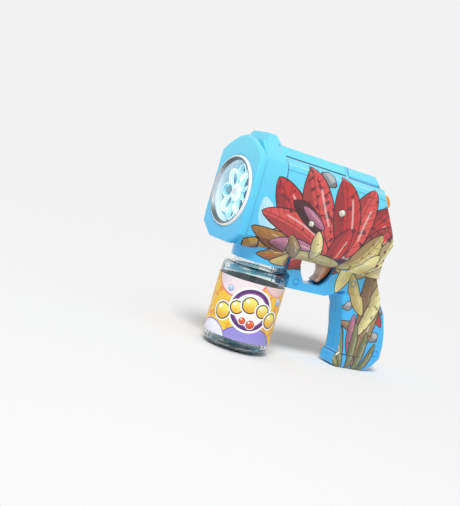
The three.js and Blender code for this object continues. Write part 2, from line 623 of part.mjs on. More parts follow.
function leftShell(outer, hollowed) {
  const half = common(hollowed, block(
    [BODY.x - OVERRUN, -BODY.halfWidth - OVERRUN, -OVERRUN],
    [BODY.x + BODY.length + GRIP.length, -GAP / 2, BLOCK.z + BLOCK.height + OVERRUN],
  ));
  const posts = [
    ...fanPosts.map((place) => post(-1, POST.r, place, -DUCT.y + GAP, bodyRoot)),
    ...boardPosts.map((place) => post(-1, POST.r, place, -BOARD.y + GAP, bodyRoot)),
    post(-1, POST.r, switchPost, TRIGGER_SWITCH.halfWidth + GAP, bodyRoot),
    post(-1, POST.r, [buttonSwitchAt.x, buttonSwitchAt.z], BUTTON_SWITCH.halfWidth + GAP, bodyRoot),
    post(-1, PIN.boss, [TRIGGER.pivotX, TRIGGER.pivotZ], TRIGGER.halfWidth + GAP, bodyRoot),
    block([RIB.x, WALL / 2 - THROAT.halfWidth, RIB.z], [RIB.x + RIB.thick, -GAP, RIB.z + RIB.tall]),
    ...gripRibs(),
    ...Object.entries(screwPlaces).map(([name, place]) => (
      post(-1, SCREW.boss, [place.x, place.y], GAP / 2, sideAt(name) - WALL / 2)
    )),
  ];
  const holes = Object.values(screwPlaces).map((place) => (
    rod(SCREW.shank + GAP, -SCREW.tip - GAP, OVERRUN, 'y', [place.x, 0, place.y])
  ));
  const pinHole = rod(PIN.r + GAP, -PIN.half - GAP, OVERRUN, 'y', [TRIGGER.pivotX, 0, TRIGGER.pivotZ]);
  return cut(join(half, common(join(...posts), outer)), ...holes, pinHole);
}

// Ribs on the grip's left wall that the battery box lies against.
function gripRibs() {
  return ribHeightShares.map((share) => {
    const z = GRIP.z + share * GRIP.height;
    return block(
      [GRIP.x + ribEndShares[0] * GRIP.length, WALL / 2 - GRIP.halfWidth, z],
      [GRIP.x + ribEndShares[1] * GRIP.length, -BOX.depth - GAP, z + WALL],
    );
  });
}

function rightShell(outer, hollowed) {
  const half = common(hollowed, block(
    [BODY.x - OVERRUN, GAP / 2, -OVERRUN],
    [BODY.x + BODY.length + GRIP.length, BODY.halfWidth + OVERRUN, BLOCK.z + BLOCK.height + OVERRUN],
  ));
  const posts = [
    ...fanPosts.map((place) => post(1, POST.r, place, DUCT.y + DUCT.width + GAP, bodyRoot)),
    post(1, POST.r, switchPost, TRIGGER_SWITCH.halfWidth + GAP, bodyRoot),
    post(1, POST.r, [buttonSwitchAt.x, buttonSwitchAt.z], BUTTON_SWITCH.halfWidth + GAP, bodyRoot),
    post(1, PIN.boss, [TRIGGER.pivotX, TRIGGER.pivotZ], TRIGGER.halfWidth + GAP, bodyRoot),
    ...Object.entries(screwPlaces).map(([name, place]) => (
      post(1, SCREW.boss + WALL / 2, [place.x, place.y], GAP / 2, sideAt(name) - WALL / 2)
    )),
  ];
  const holes = Object.entries(screwPlaces).flatMap(([name, place]) => {
    const side = sideAt(name);
    const middle = [place.x, 0, place.y];
    return [
      rod(SCREW.shank + GAP, -OVERRUN, side + OVERRUN, 'y', middle),
      rod(SCREW.recess, side - SCREW.recessDeep - SCREW.headTall, side + OVERRUN, 'y', middle, MEDIUM_SIDES),
    ];
  });
  const pinHole = rod(PIN.r + GAP, -OVERRUN, PIN.half + GAP, 'y', [TRIGGER.pivotX, 0, TRIGGER.pivotZ]);
  return cut(join(half, common(join(...posts), outer)), ...holes, pinHole, ...doorCuts(), ...intakeSlots());
}

// The window for the battery door, with a ledge behind it and notches for the door's tabs.
function doorCuts() {
  const window = sidePlate(grow(doorOutline, GAP), doorSeatY, GRIP.halfWidth + OVERRUN);
  const through = sidePlate(grow(doorOutline, -DOOR.ledge), gripRightInner - OVERRUN, GRIP.halfWidth);
  const notches = tabShares.map((share) => {
    const x = GRIP.x + share * GRIP.length;
    return block(
      [x - DOOR.tabWide / 2 - GAP, gripRightInner - GAP, doorHingeZ - DOOR.tabDrop - GAP],
      [x + DOOR.tabWide / 2 + GAP, doorSkin, doorHingeZ + DOOR.ledge + DOOR.tabRise],
    );
  });
  const screwWay = rod(
    DOOR_SCREW.boss + GAP, gripRightInner - OVERRUN, GRIP.halfWidth, 'y', [doorScrewAt.x, 0, doorScrewAt.y],
  );
  return [window, through, ...notches, screwWay];
}

// Air slots in the right side, by the fan's eye.
function intakeSlots() {
  return Array.from({ length: INTAKE.slots }, (unused, i) => {
    const row = i - (INTAKE.slots - 1) / 2;
    const half = INTAKE.half - INTAKE.shrink * Math.abs(row);
    const z = fanAt[1] + row * INTAKE.pitch;
    return block(
      [FAN.x - half, BODY.halfWidth - WALL - OVERRUN, z - INTAKE.tall / 2],
      [FAN.x + half, BODY.halfWidth + OVERRUN, z + INTAKE.tall / 2],
    );
  });
}

function shells() {
  const outer = shellOuter();
  const hollowed = cut(outer, barrelHollow(), handleHollow(), ...shellCuts());
  piece('left_shell', leftShell(outer, hollowed), blue());
  piece('right_shell', rightShell(outer, hollowed), blue());
}

function topCover() {
  const outer = common(sidePlate(coverOutline(), -BODY.halfWidth, BODY.halfWidth), sectionBar(
    bodySection, BODY.x, BODY.x + BODY.length,
  ));
  const hollow = common(
    sidePlate(grow(coverOutline(), -COVER.wall), -BODY.halfWidth, BODY.halfWidth),
    sectionBar(grow(bodySection, -COVER.wall), BODY.x, BODY.x + BODY.length),
  );
  piece('top_cover', cut(outer, join(hollow, hollow.translate([0, 0, -COVER.wall - GAP]))), blue());
}

function frontBezel() {
  const box = { z: BEZEL.z, height: BEZEL.height, halfWidth: RING.r + BEZEL.rim };
  const crown = new THREE.Vector2(0, BEZEL.z + BEZEL.height);
  const half = section(box, bezelShares);
  const points = [...half.slice(0, bezelShares.length), crown, ...half.slice(bezelShares.length)];
  const outer = sectionBar(points, BEZEL.x, BEZEL.x + BEZEL.depth, BEZEL.bevel);
  const hollow = sectionBar(grow(points, -BEZEL.wall), BEZEL.x + BEZEL.face, BEZEL.x + BEZEL.depth + OVERRUN);
  const seat = rod(RING.r + GAP, BEZEL.x - OVERRUN, RING.x + RING.flange + GAP, 'x', [0, 0, AXIS_Z], SIDES);
  const bore = rod(RING.bore + RING.wall + GAP, BEZEL.x, BEZEL.x + BEZEL.depth, 'x', [0, 0, AXIS_Z], SIDES);
  piece('front_bezel', cut(outer, hollow, seat, bore), blue());
}

function nozzleRing() {
  const tubeR = RING.bore + RING.wall;
  const back = RING.x + RING.flange;
  const end = RING.x + RING.tube;
  const body = turned([
    [RING.bore, end], [tubeR, end], [tubeR, back], [RING.r, back], [RING.r, RING.x + RING.lip],
    [RING.r - RING.lip / 2, RING.x + RING.lip / 3], [RING.r - RING.lip, RING.x],
    [tubeR - RING.lip / 3, RING.x], [tubeR - RING.lip, RING.x + RING.lip],
    [RING.bore, RING.x + 2 * RING.flange], [RING.bore, end],
  ], 'x', [0, 0, AXIS_Z], SIDES);
  const drip = rod(DRIP_NOZZLE.r + GAP, 0, 2 * RING.r, 'z', [DRIP_NOZZLE.x, 0, AXIS_Z]);
  const drain = block(
    [TRAY.x + TRAY.wall, -TRAY.halfWidth / 2, AXIS_Z - 2 * RING.r],
    [TRAY.x + TRAY.length / 2, TRAY.halfWidth / 2, AXIS_Z - RING.bore / 2],
  );
  piece('nozzle_ring', cut(body, drip, drain), white());
}

function bubbleWheel() {
  let wheel = rod(WHEEL.hub, WHEEL.x, WHEEL.x + WHEEL.thick, 'x', [0, 0, 0], MEDIUM_SIDES);
  const holes = [];
  for (let i = 0; i < WHEEL.petals; i += 1) {
    const turn = (i * 360) / WHEEL.petals;
    const outer = ring(PETAL.radial, WHEEL.petalSides, PETAL.across, [PETAL.orbit, 0]);
    const inner = ring(PETAL.radial - PETAL.rim, WHEEL.petalSides, PETAL.across - PETAL.rim, [PETAL.orbit, 0]);
    wheel = wheel.add(sectionBar(outer, WHEEL.x, WHEEL.x + WHEEL.thick).rotate([turn, 0, 0]));
    holes.push(sectionBar(inner, WHEEL.x - OVERRUN, WHEEL.x + WHEEL.thick + OVERRUN).rotate([turn, 0, 0]));
  }
  const bore = rod(WHEEL.shaft + GAP, WHEEL.x - OVERRUN, WHEEL.x + WHEEL.thick + OVERRUN, 'x', [0, 0, 0]);
  piece('bubble_wheel', cut(wheel, ...holes, bore).translate([0, 0, AXIS_Z]), glassy());
  const start = WHEEL.x - WHEEL.nose;
  const end = REAR_PLATE + GEARBOX.plate;
  const shaft = turned([
    [0, start], [WHEEL.cap, start], [WHEEL.cap, WHEEL.x - GAP], [WHEEL.shaft, WHEEL.x - GAP],
    [WHEEL.shaft, end], [0, end],
  ], 'x', [0, 0, AXIS_Z], SMALL_SIDES);
  piece('wheel_shaft', shaft, steel());
}

function lights() {
  const r = RING.bore - GAP;
  const end = LIGHTS.x + LIGHTS.thick;
  const arms = [45, 135].map((turn) => (
    block([LIGHTS.x, -r, -LIGHTS.arm / 2], [end, r, LIGHTS.arm / 2]).rotate([turn, 0, 0])
  ));
  const disc = rod(r, LIGHTS.x, end, 'x', [0, 0, 0], SIDES);
  const board = common(join(rod(LIGHTS.hub, LIGHTS.x, end, 'x', [0, 0, 0], SIDES), ...arms), disc);
  const bore = rod(WHEEL.shaft + 2 * GAP, LIGHTS.x - OVERRUN, end + OVERRUN, 'x', [0, 0, 0]);
  piece('led_board', cut(board, bore).translate([0, 0, AXIS_Z]), white());
  for (let i = 0; i < LIGHTS.count; i += 1) {
    const [y, z] = polar([0, AXIS_Z], LIGHTS.orbit, 45 + (360 * i) / LIGHTS.count);
    const [base, tip] = [LIGHTS.x - GAP, LIGHTS.x - GAP - LIGHTS.tall];
    const lamp = turned([
      ...domeShares.map(([u, v]) => [u * LIGHTS.r, tip + v * LIGHTS.r]), [LIGHTS.r, base], [0, base],
    ], 'x', [0, y, z], SMALL_SIDES);
    piece(`led_${i + 1}`, lamp, glassy());
  }
}

function airWay() {
  const end = CHAMBER.x + CHAMBER.length;
  const cup = cut(
    rod(CHAMBER.r, CHAMBER.x, end, 'x', [0, 0, AXIS_Z], SIDES),
    rod(CHAMBER.r - CHAMBER.wall, CHAMBER.x - OVERRUN, end - CHAMBER.wall, 'x', [0, 0, AXIS_Z], SIDES),
    rod(WHEEL.shaft + GAP, CHAMBER.x, end + OVERRUN, 'x', [0, 0, AXIS_Z]),
    block(
      [end - OVERRUN, DUCT.y + DUCT.wall, DUCT.mouthZ + DUCT.wall],
      [end + OVERRUN, DUCT.y + DUCT.width - DUCT.wall, DUCT.mouthZ + DUCT.mouthTall - DUCT.wall],
    ),
  );
  piece('air_chamber', cup, white());
  const start = end + GAP;
  const rear = FAN.x - FAN.reach - GAP;
  const lines = (wall, reach) => [
    [start - reach, DUCT.mouthZ + wall], [DUCT.kneeX, DUCT.z + wall], [rear + reach, DUCT.z + wall],
    [rear + reach, DUCT.z + DUCT.tall - wall], [DUCT.kneeX, DUCT.z + DUCT.tall - wall],
    [start - reach, DUCT.mouthZ + DUCT.mouthTall - wall],
  ].map(([x, z]) => new THREE.Vector2(x, z));
  piece('air_duct', cut(
    sidePlate(lines(0, 0), DUCT.y, DUCT.y + DUCT.width),
    sidePlate(lines(DUCT.wall, OVERRUN), DUCT.y + DUCT.wall, DUCT.y + DUCT.width - DUCT.wall),
  ), white());
}

function fan() {
  const [x, z] = fanAt;
  const [low, high] = [DUCT.y, DUCT.y + DUCT.width];
  const outletLow = DUCT.z;
  const snail = (wall, reach) => join(
    rod(FAN.r - wall, low + wall, high - wall, 'y', [x, 0, z], SIDES),
    block(
      [x - FAN.reach - reach, low + wall, outletLow + wall],
      [x, high - wall, z + (FAN.r - wall) * Math.cos(Math.PI / SIDES)],
    ),
  );
  const housing = cut(
    snail(0, 0), snail(FAN.wall, OVERRUN),
    rod(FAN.intake, high - OVERRUN, high + OVERRUN, 'y', [x, 0, z], MEDIUM_SIDES),
    rod(FAN.shaft + 2 * GAP, low - OVERRUN, low + OVERRUN, 'y', [x, 0, z]),
  );
  piece('fan_housing', housing, white());
  const rotorLow = low + FAN.wall + BLADE.side;
  const rotorHigh = high - FAN.wall - BLADE.side;
  let rotor = join(
    rod(FAN.rotor, rotorLow, rotorLow + BLADE.disc, 'y', [0, 0, 0], MEDIUM_SIDES),
    rod(BLADE.hub, rotorLow, rotorHigh - BLADE.side, 'y', [0, 0, 0]),
  );
  for (let i = 0; i < FAN.blades; i += 1) {
    const blade = block([FAN.eye, rotorLow, -BLADE.thick / 2], [FAN.rotor - GAP, rotorHigh, BLADE.thick / 2]);
    rotor = rotor.add(blade.rotate([0, (360 * i) / FAN.blades, 0]));
  }
  const shaft = rod(FAN.shaft, low - MOTOR.bossTall - 2 * OVERRUN, rotorHigh - BLADE.side, 'y', [0, 0, 0]);
  piece('fan_impeller', join(rotor, shaft).translate([x, 0, z]), grey());
  const motorLow = GAP + WALL - BODY.halfWidth;
  const can = common(
    rod(MOTOR.r, motorLow, low - GAP - MOTOR.bossTall, 'y', [x, 0, z], MEDIUM_SIDES),
    block([x - MOTOR.r, motorLow, z - MOTOR.flat], [x + MOTOR.r, low, z + MOTOR.flat]),
  );
  const boss = rod(MOTOR.boss, low - GAP - MOTOR.bossTall - GAP, low - GAP, 'y', [x, 0, z]);
  const well = rod(FAN.shaft + GAP, low - MOTOR.bossTall - 3 * OVERRUN, low, 'y', [x, 0, z]);
  piece('fan_motor', cut(join(can, boss), well), steel());
}

function gearTrain() {
  const hole = (r, [y, z]) => rod(r + GAP, GEARBOX.x - OVERRUN, MOTOR_X + OVERRUN, 'x', [0, y, z]);
  const bearings = [hole(WHEEL.shaft, WHEEL_AT), hole(ROTOR.shaft, PUMP_AT), hole(GEARBOX.pin, REDUCTION_AT)];
  const plate = (x) => common(
    sectionBar(grow(bodySection, -WALL - GAP), x, x + GEARBOX.plate),
    block(
      [x, -BODY.halfWidth, floorTop + SOCKET.flangeTall + 2 * GAP],
      [x + GEARBOX.plate, GEARBOX.right, GEARBOX.top],
    ),
  );
  const pin = rod(GEARBOX.pin, GEARBOX.x, REAR_PLATE + GEARBOX.plate, 'x', [0, ...REDUCTION_AT]);
  piece('gear_front_plate', join(cut(plate(GEARBOX.x), bearings[0], bearings[1]), pin), grey());
  piece('gear_rear_plate', cut(plate(REAR_PLATE), ...bearings, hole(MOTOR.shaft, PINION_AT)), grey());
  const bored = (wheel, r, [y, z]) => cut(wheel, rod(r + GAP, GEARBOX.x, MOTOR_X, 'x', [0, y, z]));
  piece('wheel_gear', bored(gear(TEETH.wheel, 0, GEAR_A, WHEEL_AT), WHEEL.shaft, WHEEL_AT), white());
  piece('pump_gear', bored(gear(TEETH.pump, PUMP_PHASE, GEAR_A, PUMP_AT), ROTOR.shaft, PUMP_AT), white());
  const double = join(
    gear(TEETH.small, SMALL_PHASE, GEAR_A, REDUCTION_AT), gear(TEETH.large, 0, GEAR_B, REDUCTION_AT),
    rod(pitchRadius(TEETH.small) - TOOTH.rootDepth, GEAR_A, GEAR_B + GAP, 'x', [0, ...REDUCTION_AT]),
  );
  piece('reduction_gear', bored(double, GEARBOX.pin, REDUCTION_AT), white());
  const shaft = rod(MOTOR.shaft, GEAR_B + GEARBOX.gear / 2, MOTOR_X + 2 * OVERRUN, 'x', [0, ...PINION_AT]);
  piece('motor_pinion', join(gear(TEETH.pinion, PINION_PHASE, GEAR_B, PINION_AT), shaft), steel());
  const [y, z] = PINION_AT;
  const can = common(
    rod(MOTOR.r, MOTOR_X, MOTOR_X + MOTOR.length, 'x', [0, y, z], MEDIUM_SIDES),
    block([MOTOR_X, y - MOTOR.flat, z - MOTOR.r], [MOTOR_X + MOTOR.length, y + MOTOR.flat, z + MOTOR.r]),
  );
  const well = rod(MOTOR.shaft + GAP, MOTOR_X - OVERRUN, MOTOR_X + 3 * OVERRUN, 'x', [0, y, z]);
  piece('pump_motor', cut(can, well), steel());
}

function pump() {
  const [y, z] = PUMP_AT;
  const end = PUMP.x + PUMP.depth;
  const back = end - PUMP.back;
  const wall = common(
    tube(PUMP.r, PUMP.r - PUMP.wall, PUMP.x, back + GAP, 'x', [0, 0, 0]),
    block([PUMP.x, -PUMP.r, -PUMP.r], [end, PUMP.r, 0]),
  );
  const shape = join(rod(PUMP.r, back, end, 'x', [0, 0, 0], SIDES), wall);
  const bore = rod(ROTOR.shaft + GAP, back - OVERRUN, end + OVERRUN, 'x', [0, 0, 0]);
  piece('pump_housing', cut(shape, bore).translate([0, y, z]), white());
  const front = PUMP.x + GAP;
  const rear = back - GAP - ROTOR.discThick;
  const rotor = join(
    rod(ROTOR.disc, front, front + ROTOR.discThick, 'x', [0, 0, 0], MEDIUM_SIDES),
    rod(ROTOR.disc, rear, rear + ROTOR.discThick, 'x', [0, 0, 0], MEDIUM_SIDES),
    rod(ROTOR.hub, front, rear + GAP, 'x', [0, 0, 0]),
    rod(ROTOR.shaft, rear, REAR_PLATE + GEARBOX.plate, 'x', [0, 0, 0]),
  );
  piece('pump_rotor', rotor.translate([0, y, z]), grey());
  for (let i = 0; i < ROTOR.rollers; i += 1) {
    const place = polar(PUMP_AT, ROTOR.orbit, 90 + (360 * i) / ROTOR.rollers);
    const roller = rod(ROTOR.roller, front + ROTOR.discThick + GAP, rear - GAP, 'x', [0, ...place]);
    piece(`pump_roller_${i + 1}`, roller, steel());
  }
}

// The hose runs from the dip tube round the pump to the drip nozzle above the wheel.
function hoses() {
  const [y, z] = PUMP_AT;
  const loopX = PUMP.x + (PUMP.depth - PUMP.back) / 2;
  const loop = [];
  for (let i = 0; i <= HOSE.loopSteps; i += 1) {
    const [ly, lz] = polar(PUMP_AT, PUMP.loop, 180 + (180 * i) / HOSE.loopSteps);
    loop.push([loopX, ly, lz]);
  }
  const nipple = AXIS_Z + RING.bore + RING.wall + DRIP_NOZZLE.tall + DRIP_NOZZLE.flangeTall + 2 * GAP;
  const fromPump = ([along, across, up]) => [along, y + across, z + up];
  const route = [
    [0, 0, dipTop + GAP], [0, 0, dipTop + HOSE.straight], ...HOSE.rise.map(fromPump),
    ...loop, ...HOSE.climb.map(fromPump),
    [DRIP_NOZZLE.x, 0, nipple + HOSE.straight], [DRIP_NOZZLE.x, 0, nipple],
  ];
  piece('feed_hose', bar(path(route), PUMP.hose, HOSE.steps, HOSE.sides), glassy());
  const nozzleLow = AXIS_Z + PETAL.orbit + PETAL.radial + DRIP_NOZZLE.gap;
  const seat = AXIS_Z + RING.bore + RING.wall + GAP;
  const nozzle = turned([
    [PUMP.hose / 2, nozzleLow], [DRIP_NOZZLE.r, nozzleLow], [DRIP_NOZZLE.r, seat], [DRIP_NOZZLE.flange, seat],
    [DRIP_NOZZLE.flange, seat + DRIP_NOZZLE.flangeTall], [DRIP_NOZZLE.r, seat + DRIP_NOZZLE.flangeTall],
    [DRIP_NOZZLE.r, nipple - GAP], [PUMP.hose / 2, nipple - GAP], [PUMP.hose / 2, nozzleLow],
  ], 'z', [DRIP_NOZZLE.x, 0, 0], SMALL_SIDES);
  piece('drip_nozzle', nozzle, white());
  const tray = cut(
    block(
      [TRAY.x, -TRAY.halfWidth, floorTop + GAP],
      [TRAY.x + TRAY.length, TRAY.halfWidth, floorTop + GAP + TRAY.tall],
    ),
    block(
      [TRAY.x + TRAY.wall, TRAY.wall - TRAY.halfWidth, floorTop + GAP + TRAY.wall],
      [TRAY.x + TRAY.length - TRAY.wall, TRAY.halfWidth - TRAY.wall, floorTop + TRAY.tall + OVERRUN],
    ),
  );
  piece('drip_tray', tray, white());
}

function bottleParts() {
  const { r, height, wall, base, corner, shoulder } = BOTTLE;
  const arc = (middleR, middleZ, radius, from, to) => {
    const points = [];
    for (let i = 0; i <= BOTTLE.cornerSteps; i += 1) {
      const angle = radians(from + ((to - from) * i) / BOTTLE.cornerSteps);
      points.push([middleR + radius * Math.cos(angle), middleZ + radius * Math.sin(angle)]);
    }
    return points;
  };
  const bead = BOTTLE.height + NECK.beadTall / 2;
  const beadTop = bead + NECK.beadTall;
  const profile = [
    [0, 0], ...arc(r - corner, corner, corner, -90, 0),
    ...arc(r - shoulder, height - shoulder, shoulder, 0, 90),
    [NECK.r, height], [NECK.r, bead], [NECK.bead, bead], [NECK.bead, beadTop], [NECK.r, beadTop],
    [NECK.r, neckTop], [NECK.r - NECK.wall, neckTop], [NECK.r - NECK.wall, height - wall],
    ...arc(r - shoulder, height - shoulder, shoulder - wall, 90, 0),
    ...arc(r - corner, corner, corner - base, 0, -90), [0, base],
  ];
  piece('bottle', turned(profile, 'z', [0, 0, 0], SIDES), glassy());
  const wrap = r + GAP;
  const label = tube(wrap + LABEL.thick, wrap, LABEL.z, LABEL.z + LABEL.height, 'z', [0, 0, 0]);
  piece('bottle_label', label, yellow());
  const low = BODY.z - SOCKET.drop;
  const ceiling = neckTop + SEAL.tall + 2 * GAP;
  const top = floorTop + GAP + SOCKET.flangeTall;
  const barrel = turned([
    [NECK.r + GAP, low], [SOCKET.r - SOCKET.taper, low], [SOCKET.r, floorTop + GAP], [SOCKET.r, top],
    [SOCKET.hole, top], [SOCKET.hole, ceiling], [NECK.r + GAP, ceiling], [NECK.r + GAP, low],
  ], 'z', [0, 0, 0], SIDES);
  const inFloor = floorEdgeShare[0] * BODY.halfWidth - WALL;
  const flange = common(
    tube(SOCKET.flange, SOCKET.r - SOCKET.skirt, floorTop + GAP, top, 'z', [0, 0, 0]),
    block([-SOCKET.flange, -inFloor, BODY.z], [SOCKET.flange, inFloor, top]),
  );
  const skirt = cut(
    tube(SOCKET.r, SOCKET.r - SOCKET.skirt, floorTop + GAP, floorTop + SOCKET.skirtTop, 'z', [0, 0, 0]),
    block([-SOCKET.r, -SOCKET.skirtFrom, BODY.z], [SOCKET.r, SOCKET.skirtFrom, bodyTop]),
  );
  piece('bottle_socket', join(barrel, flange, skirt), blue());
  const seal = tube(SEAL.r, SEAL.hole, neckTop + GAP, neckTop + GAP + SEAL.tall, 'z', [0, 0, 0]);
  piece('bottle_seal', seal, rubber());
  const dip = tube(DIP_TUBE.r, DIP_TUBE.bore, DIP_TUBE.z, dipTop, 'z', [0, 0, 0], SMALL_SIDES);
  piece('dip_tube', dip, glassy());
  const filter = tube(
    FILTER.r, DIP_TUBE.r + GAP, FILTER.z, FILTER.z + FILTER.tall, 'z', [0, 0, 0], MEDIUM_SIDES,
  );
  piece('tube_filter', filter, white());
}

// The trigger hangs from its pin and swings back into the throat.
function triggerParts() {
  const half = TRIGGER.halfWidth;
  const arm = sidePlate([
    ...outline(TRIGGER, armShares),
    new THREE.Vector2(TRIGGER.pivotX + TRIGGER.eye, TRIGGER.pivotZ),
    new THREE.Vector2(TRIGGER.pivotX - TRIGGER.eye, TRIGGER.pivotZ),
  ], -half, half);
  const shape = join(
    sidePlate(outline(TRIGGER, triggerShares), -half, half, 1), arm,
    rod(TRIGGER.eye, -half, half, 'y', [TRIGGER.pivotX, 0, TRIGGER.pivotZ], MEDIUM_SIDES),
    rod(PIN.r, -PIN.half, PIN.half, 'y', [TRIGGER.pivotX, 0, TRIGGER.pivotZ]),
  );
  piece('trigger', shape, amber());
  const spring = coil(TRIGGER_SPRING.r, TRIGGER_SPRING.wire, 0, TRIGGER_SPRING.length, TRIGGER_SPRING.turns);
  const lying = piece('trigger_spring', spring, steel());
  lying.position.set(TRIGGER_SPRING.x, 0, TRIGGER_SPRING.z);
  lying.rotation.y = Math.PI / 2;
  const { x, length, z, tall, halfWidth, key, keyR } = TRIGGER_SWITCH;
  const body = join(
    block([x, -halfWidth, z], [x + length, halfWidth, z + tall]),
    rod(keyR, x - key, x + GAP, 'x', [0, 0, z + tall / 2]),
  );
  piece('trigger_switch', body, rubber());
}

function buttonParts() {
  const group = new THREE.Group();
  group.applyMatrix4(buttonFrame);
  model.add(group);
  const { halfWide, tall, out, round, flange, flangeThick, stem } = BUTTON;
  const inside = -WALL - GAP;
  const switchTop = -BUTTON_SWITCH.drop - WALL;
  const rounded = (wider, low, high) => (
    solid(roundedBar(halfWide + wider, tall / 2 + wider, round, low, high))
  );
  const shape = join(
    rounded(0, inside - flangeThick / 2, out - round / 2), rounded(-round / 3, out - round, out),
    rounded(flange, inside - flangeThick, inside),
    rod(stem, switchTop + BUTTON_TRAVEL + GAP, inside - GAP, 'x', [0, 0, 0]),
  );
  piece('rear_button', shape, orange(), group);
  const { halfWidth, tall: high, deep } = BUTTON_SWITCH;
  const body = block([switchTop - deep, -halfWidth, -high / 2], [switchTop, halfWidth, high / 2]);
  piece('button_switch', body, rubber(), group);
  const { r, wire, turns } = BUTTON_SPRING;
  const spring = coil(r, wire, switchTop + GAP, inside - flangeThick - GAP, turns);
  piece('button_spring', spring, steel(), group).rotation.y = Math.PI / 2;
}

function electronics() {
  const { x, length, z, height, y, thick, chip, chipTall } = BOARD;
  const middle = [x + length / 2, z + height / 2];
  const board = join(
    block([x, y, z], [x + length, y + thick, z + height]),
    block(
      [middle[0] - chip, y + thick - GAP, middle[1] - chip / 2],
      [middle[0] + chip, y + thick + chipTall, middle[1] + chip / 2],
    ),
  );
  piece('control_board', board, green());
}

function batteries() {
  const pack = new THREE.Group();
  const place = at(GRIP, boxPlaceShare);
  pack.position.set(place.x, 0, place.y);
  pack.rotation.y = -boxLean;
  model.add(pack);
  const halfLong = (CELL.pitch * CELL.count) / 2 + GAP;
  const halfTall = (CELL.length + CELL.nubTall) / 2 + BOX.end;
  const { wall, depth } = BOX;
  const lug = new THREE.Vector2(doorScrewAt.x - place.x, doorScrewAt.y - place.y)
    .rotateAround(new THREE.Vector2(0, 0), -boxLean);
  const bossTop = doorSkin - DOOR.thick - GAP;
  const box = cut(
    join(
      block([-halfLong - wall, -depth, -halfTall - wall], [halfLong + wall, depth, halfTall + wall]),
      rod(DOOR_SCREW.boss, bossTop - DOOR_SCREW.bossTall, bossTop, 'y', [lug.x, 0, lug.y]),
      block([halfLong, bossTop - DOOR_SCREW.bossTall, lug.y - wall], [lug.x, bossTop, lug.y + wall]),
    ),
    block([-halfLong, wall - depth, -halfTall], [halfLong, depth + OVERRUN + bossTop, halfTall]),
    rod(SCREW.shank + DOOR_SCREW.play, bossTop - DOOR_SCREW.well, bossTop + OVERRUN, 'y', [lug.x, 0, lug.y]),
  );
  piece('battery_box', box, blue(), pack);
  for (let i = 0; i < CELL.count; i += 1) {
    const x = (i - (CELL.count - 1) / 2) * CELL.pitch;
    const [low, high] = [-(CELL.length + CELL.nubTall) / 2, (CELL.length - CELL.nubTall) / 2];
    const tip = high + CELL.nubTall;
    const profile = [[0, low], [CELL.r, low], [CELL.r, high], [CELL.nub, high], [CELL.nub, tip], [0, tip]];
    const cell = piece(`battery_${i + 1}`, turned(profile, 'z', [0, 0, 0], CELL.sides), yellow(), pack);
    cell.position.set(x, 0, 0);
    cell.rotation.x = i % 2 ? Math.PI : 0;
  }
  contacts(pack, halfTall);
}

// Plates at the ends of the cells: one joins the two cells, the others are the terminals.
function contacts(pack, halfTall) {
  const rows = { link: [-0.5, 0.5, 1], terminal_front: [-0.5, -0.5, -1], terminal_rear: [0.5, 0.5, -1] };
  for (const [name, [first, last, end]] of Object.entries(rows)) {
    const z = end * (halfTall - GAP - CONTACT.thick / 2);
    const low = first * CELL.pitch - CONTACT.wide / 2;
    const high = last * CELL.pitch + CONTACT.wide / 2;
    const plate = block(
      [low, -CONTACT.halfDeep, z - CONTACT.thick / 2], [high, CONTACT.halfDeep, z + CONTACT.thick / 2],
    );
    piece(`contact_${name}`, plate, steel(), pack);
  }
}

function batteryDoor() {
  const skin = sidePlate(doorOutline, doorSkin, GRIP.halfWidth);
  const tabs = tabShares.map((share) => {
    const x = GRIP.x + share * GRIP.length;
    const [low, high] = [x - DOOR.tabWide / 2, x + DOOR.tabWide / 2];
    const y = doorSeatY - GAP - DOOR.tabThick;
    return join(
      block([low, y, doorHingeZ - DOOR.tabDrop], [high, y + DOOR.tabThick, doorHingeZ + DOOR.tabRise]),
      block([low, y, doorHingeZ + GAP], [high, doorSkin + GAP, doorHingeZ + DOOR.tabRise]),
    );
  });
  const middle = [doorScrewAt.x, 0, doorScrewAt.y];
  const holes = [
    rod(SCREW.shank + GAP, doorSkin - OVERRUN, GRIP.halfWidth + OVERRUN, 'y', middle),
    rod(
      SCREW.head + GAP, GRIP.halfWidth - DOOR.thick / 2, GRIP.halfWidth + OVERRUN, 'y', middle, MEDIUM_SIDES,
    ),
  ];
  piece('battery_door', cut(join(skin, ...tabs), ...holes), blue());
  const seat = GRIP.halfWidth - DOOR.thick / 2 + GAP;
  const tip = doorSkin - DOOR.thick - GAP - DOOR_SCREW.grip;
  piece('door_screw', screw(seat, GRIP.halfWidth, tip).translate([doorScrewAt.x, 0, doorScrewAt.y]), steel());
}

// A screw along Y: its head's underside, its head's face and its tip.
function screw(seat, face, tip) {
  const body = join(
    rod(SCREW.head, seat, face, 'y', [0, 0, 0], MEDIUM_SIDES),
    rod(SCREW.shank, tip, seat + GAP, 'y', [0, 0, 0]),
  );
  const arm = SCREW.head * SCREW.armShare;
  const slotFloor = Math.max(face - SCREW.slot, (face + seat) / 2);
  const arms = [0, 90].map((turn) => (
    block([-arm, slotFloor, -SCREW.slot / 2], [arm, face + OVERRUN, SCREW.slot / 2]).rotate([0, turn, 0])
  ));
  return cut(body, ...arms);
}

function shellScrews() {
  for (const [name, place] of Object.entries(screwPlaces)) {
    const seat = sideAt(name) - SCREW.recessDeep - SCREW.headTall + GAP;
    const whole = screw(seat, seat + SCREW.headTall, -SCREW.tip);
    piece(`shell_screw_${name}`, whole.translate([place.x, 0, place.y]), steel());
  }
}

shells();
frontBezel();
topCover();
nozzleRing();
bubbleWheel();
lights();
airWay();
fan();
gearTrain();
pump();
hoses();
bottleParts();
triggerParts();
buttonParts();
electronics();
batteries();
batteryDoor();
shellScrews();

export default model;
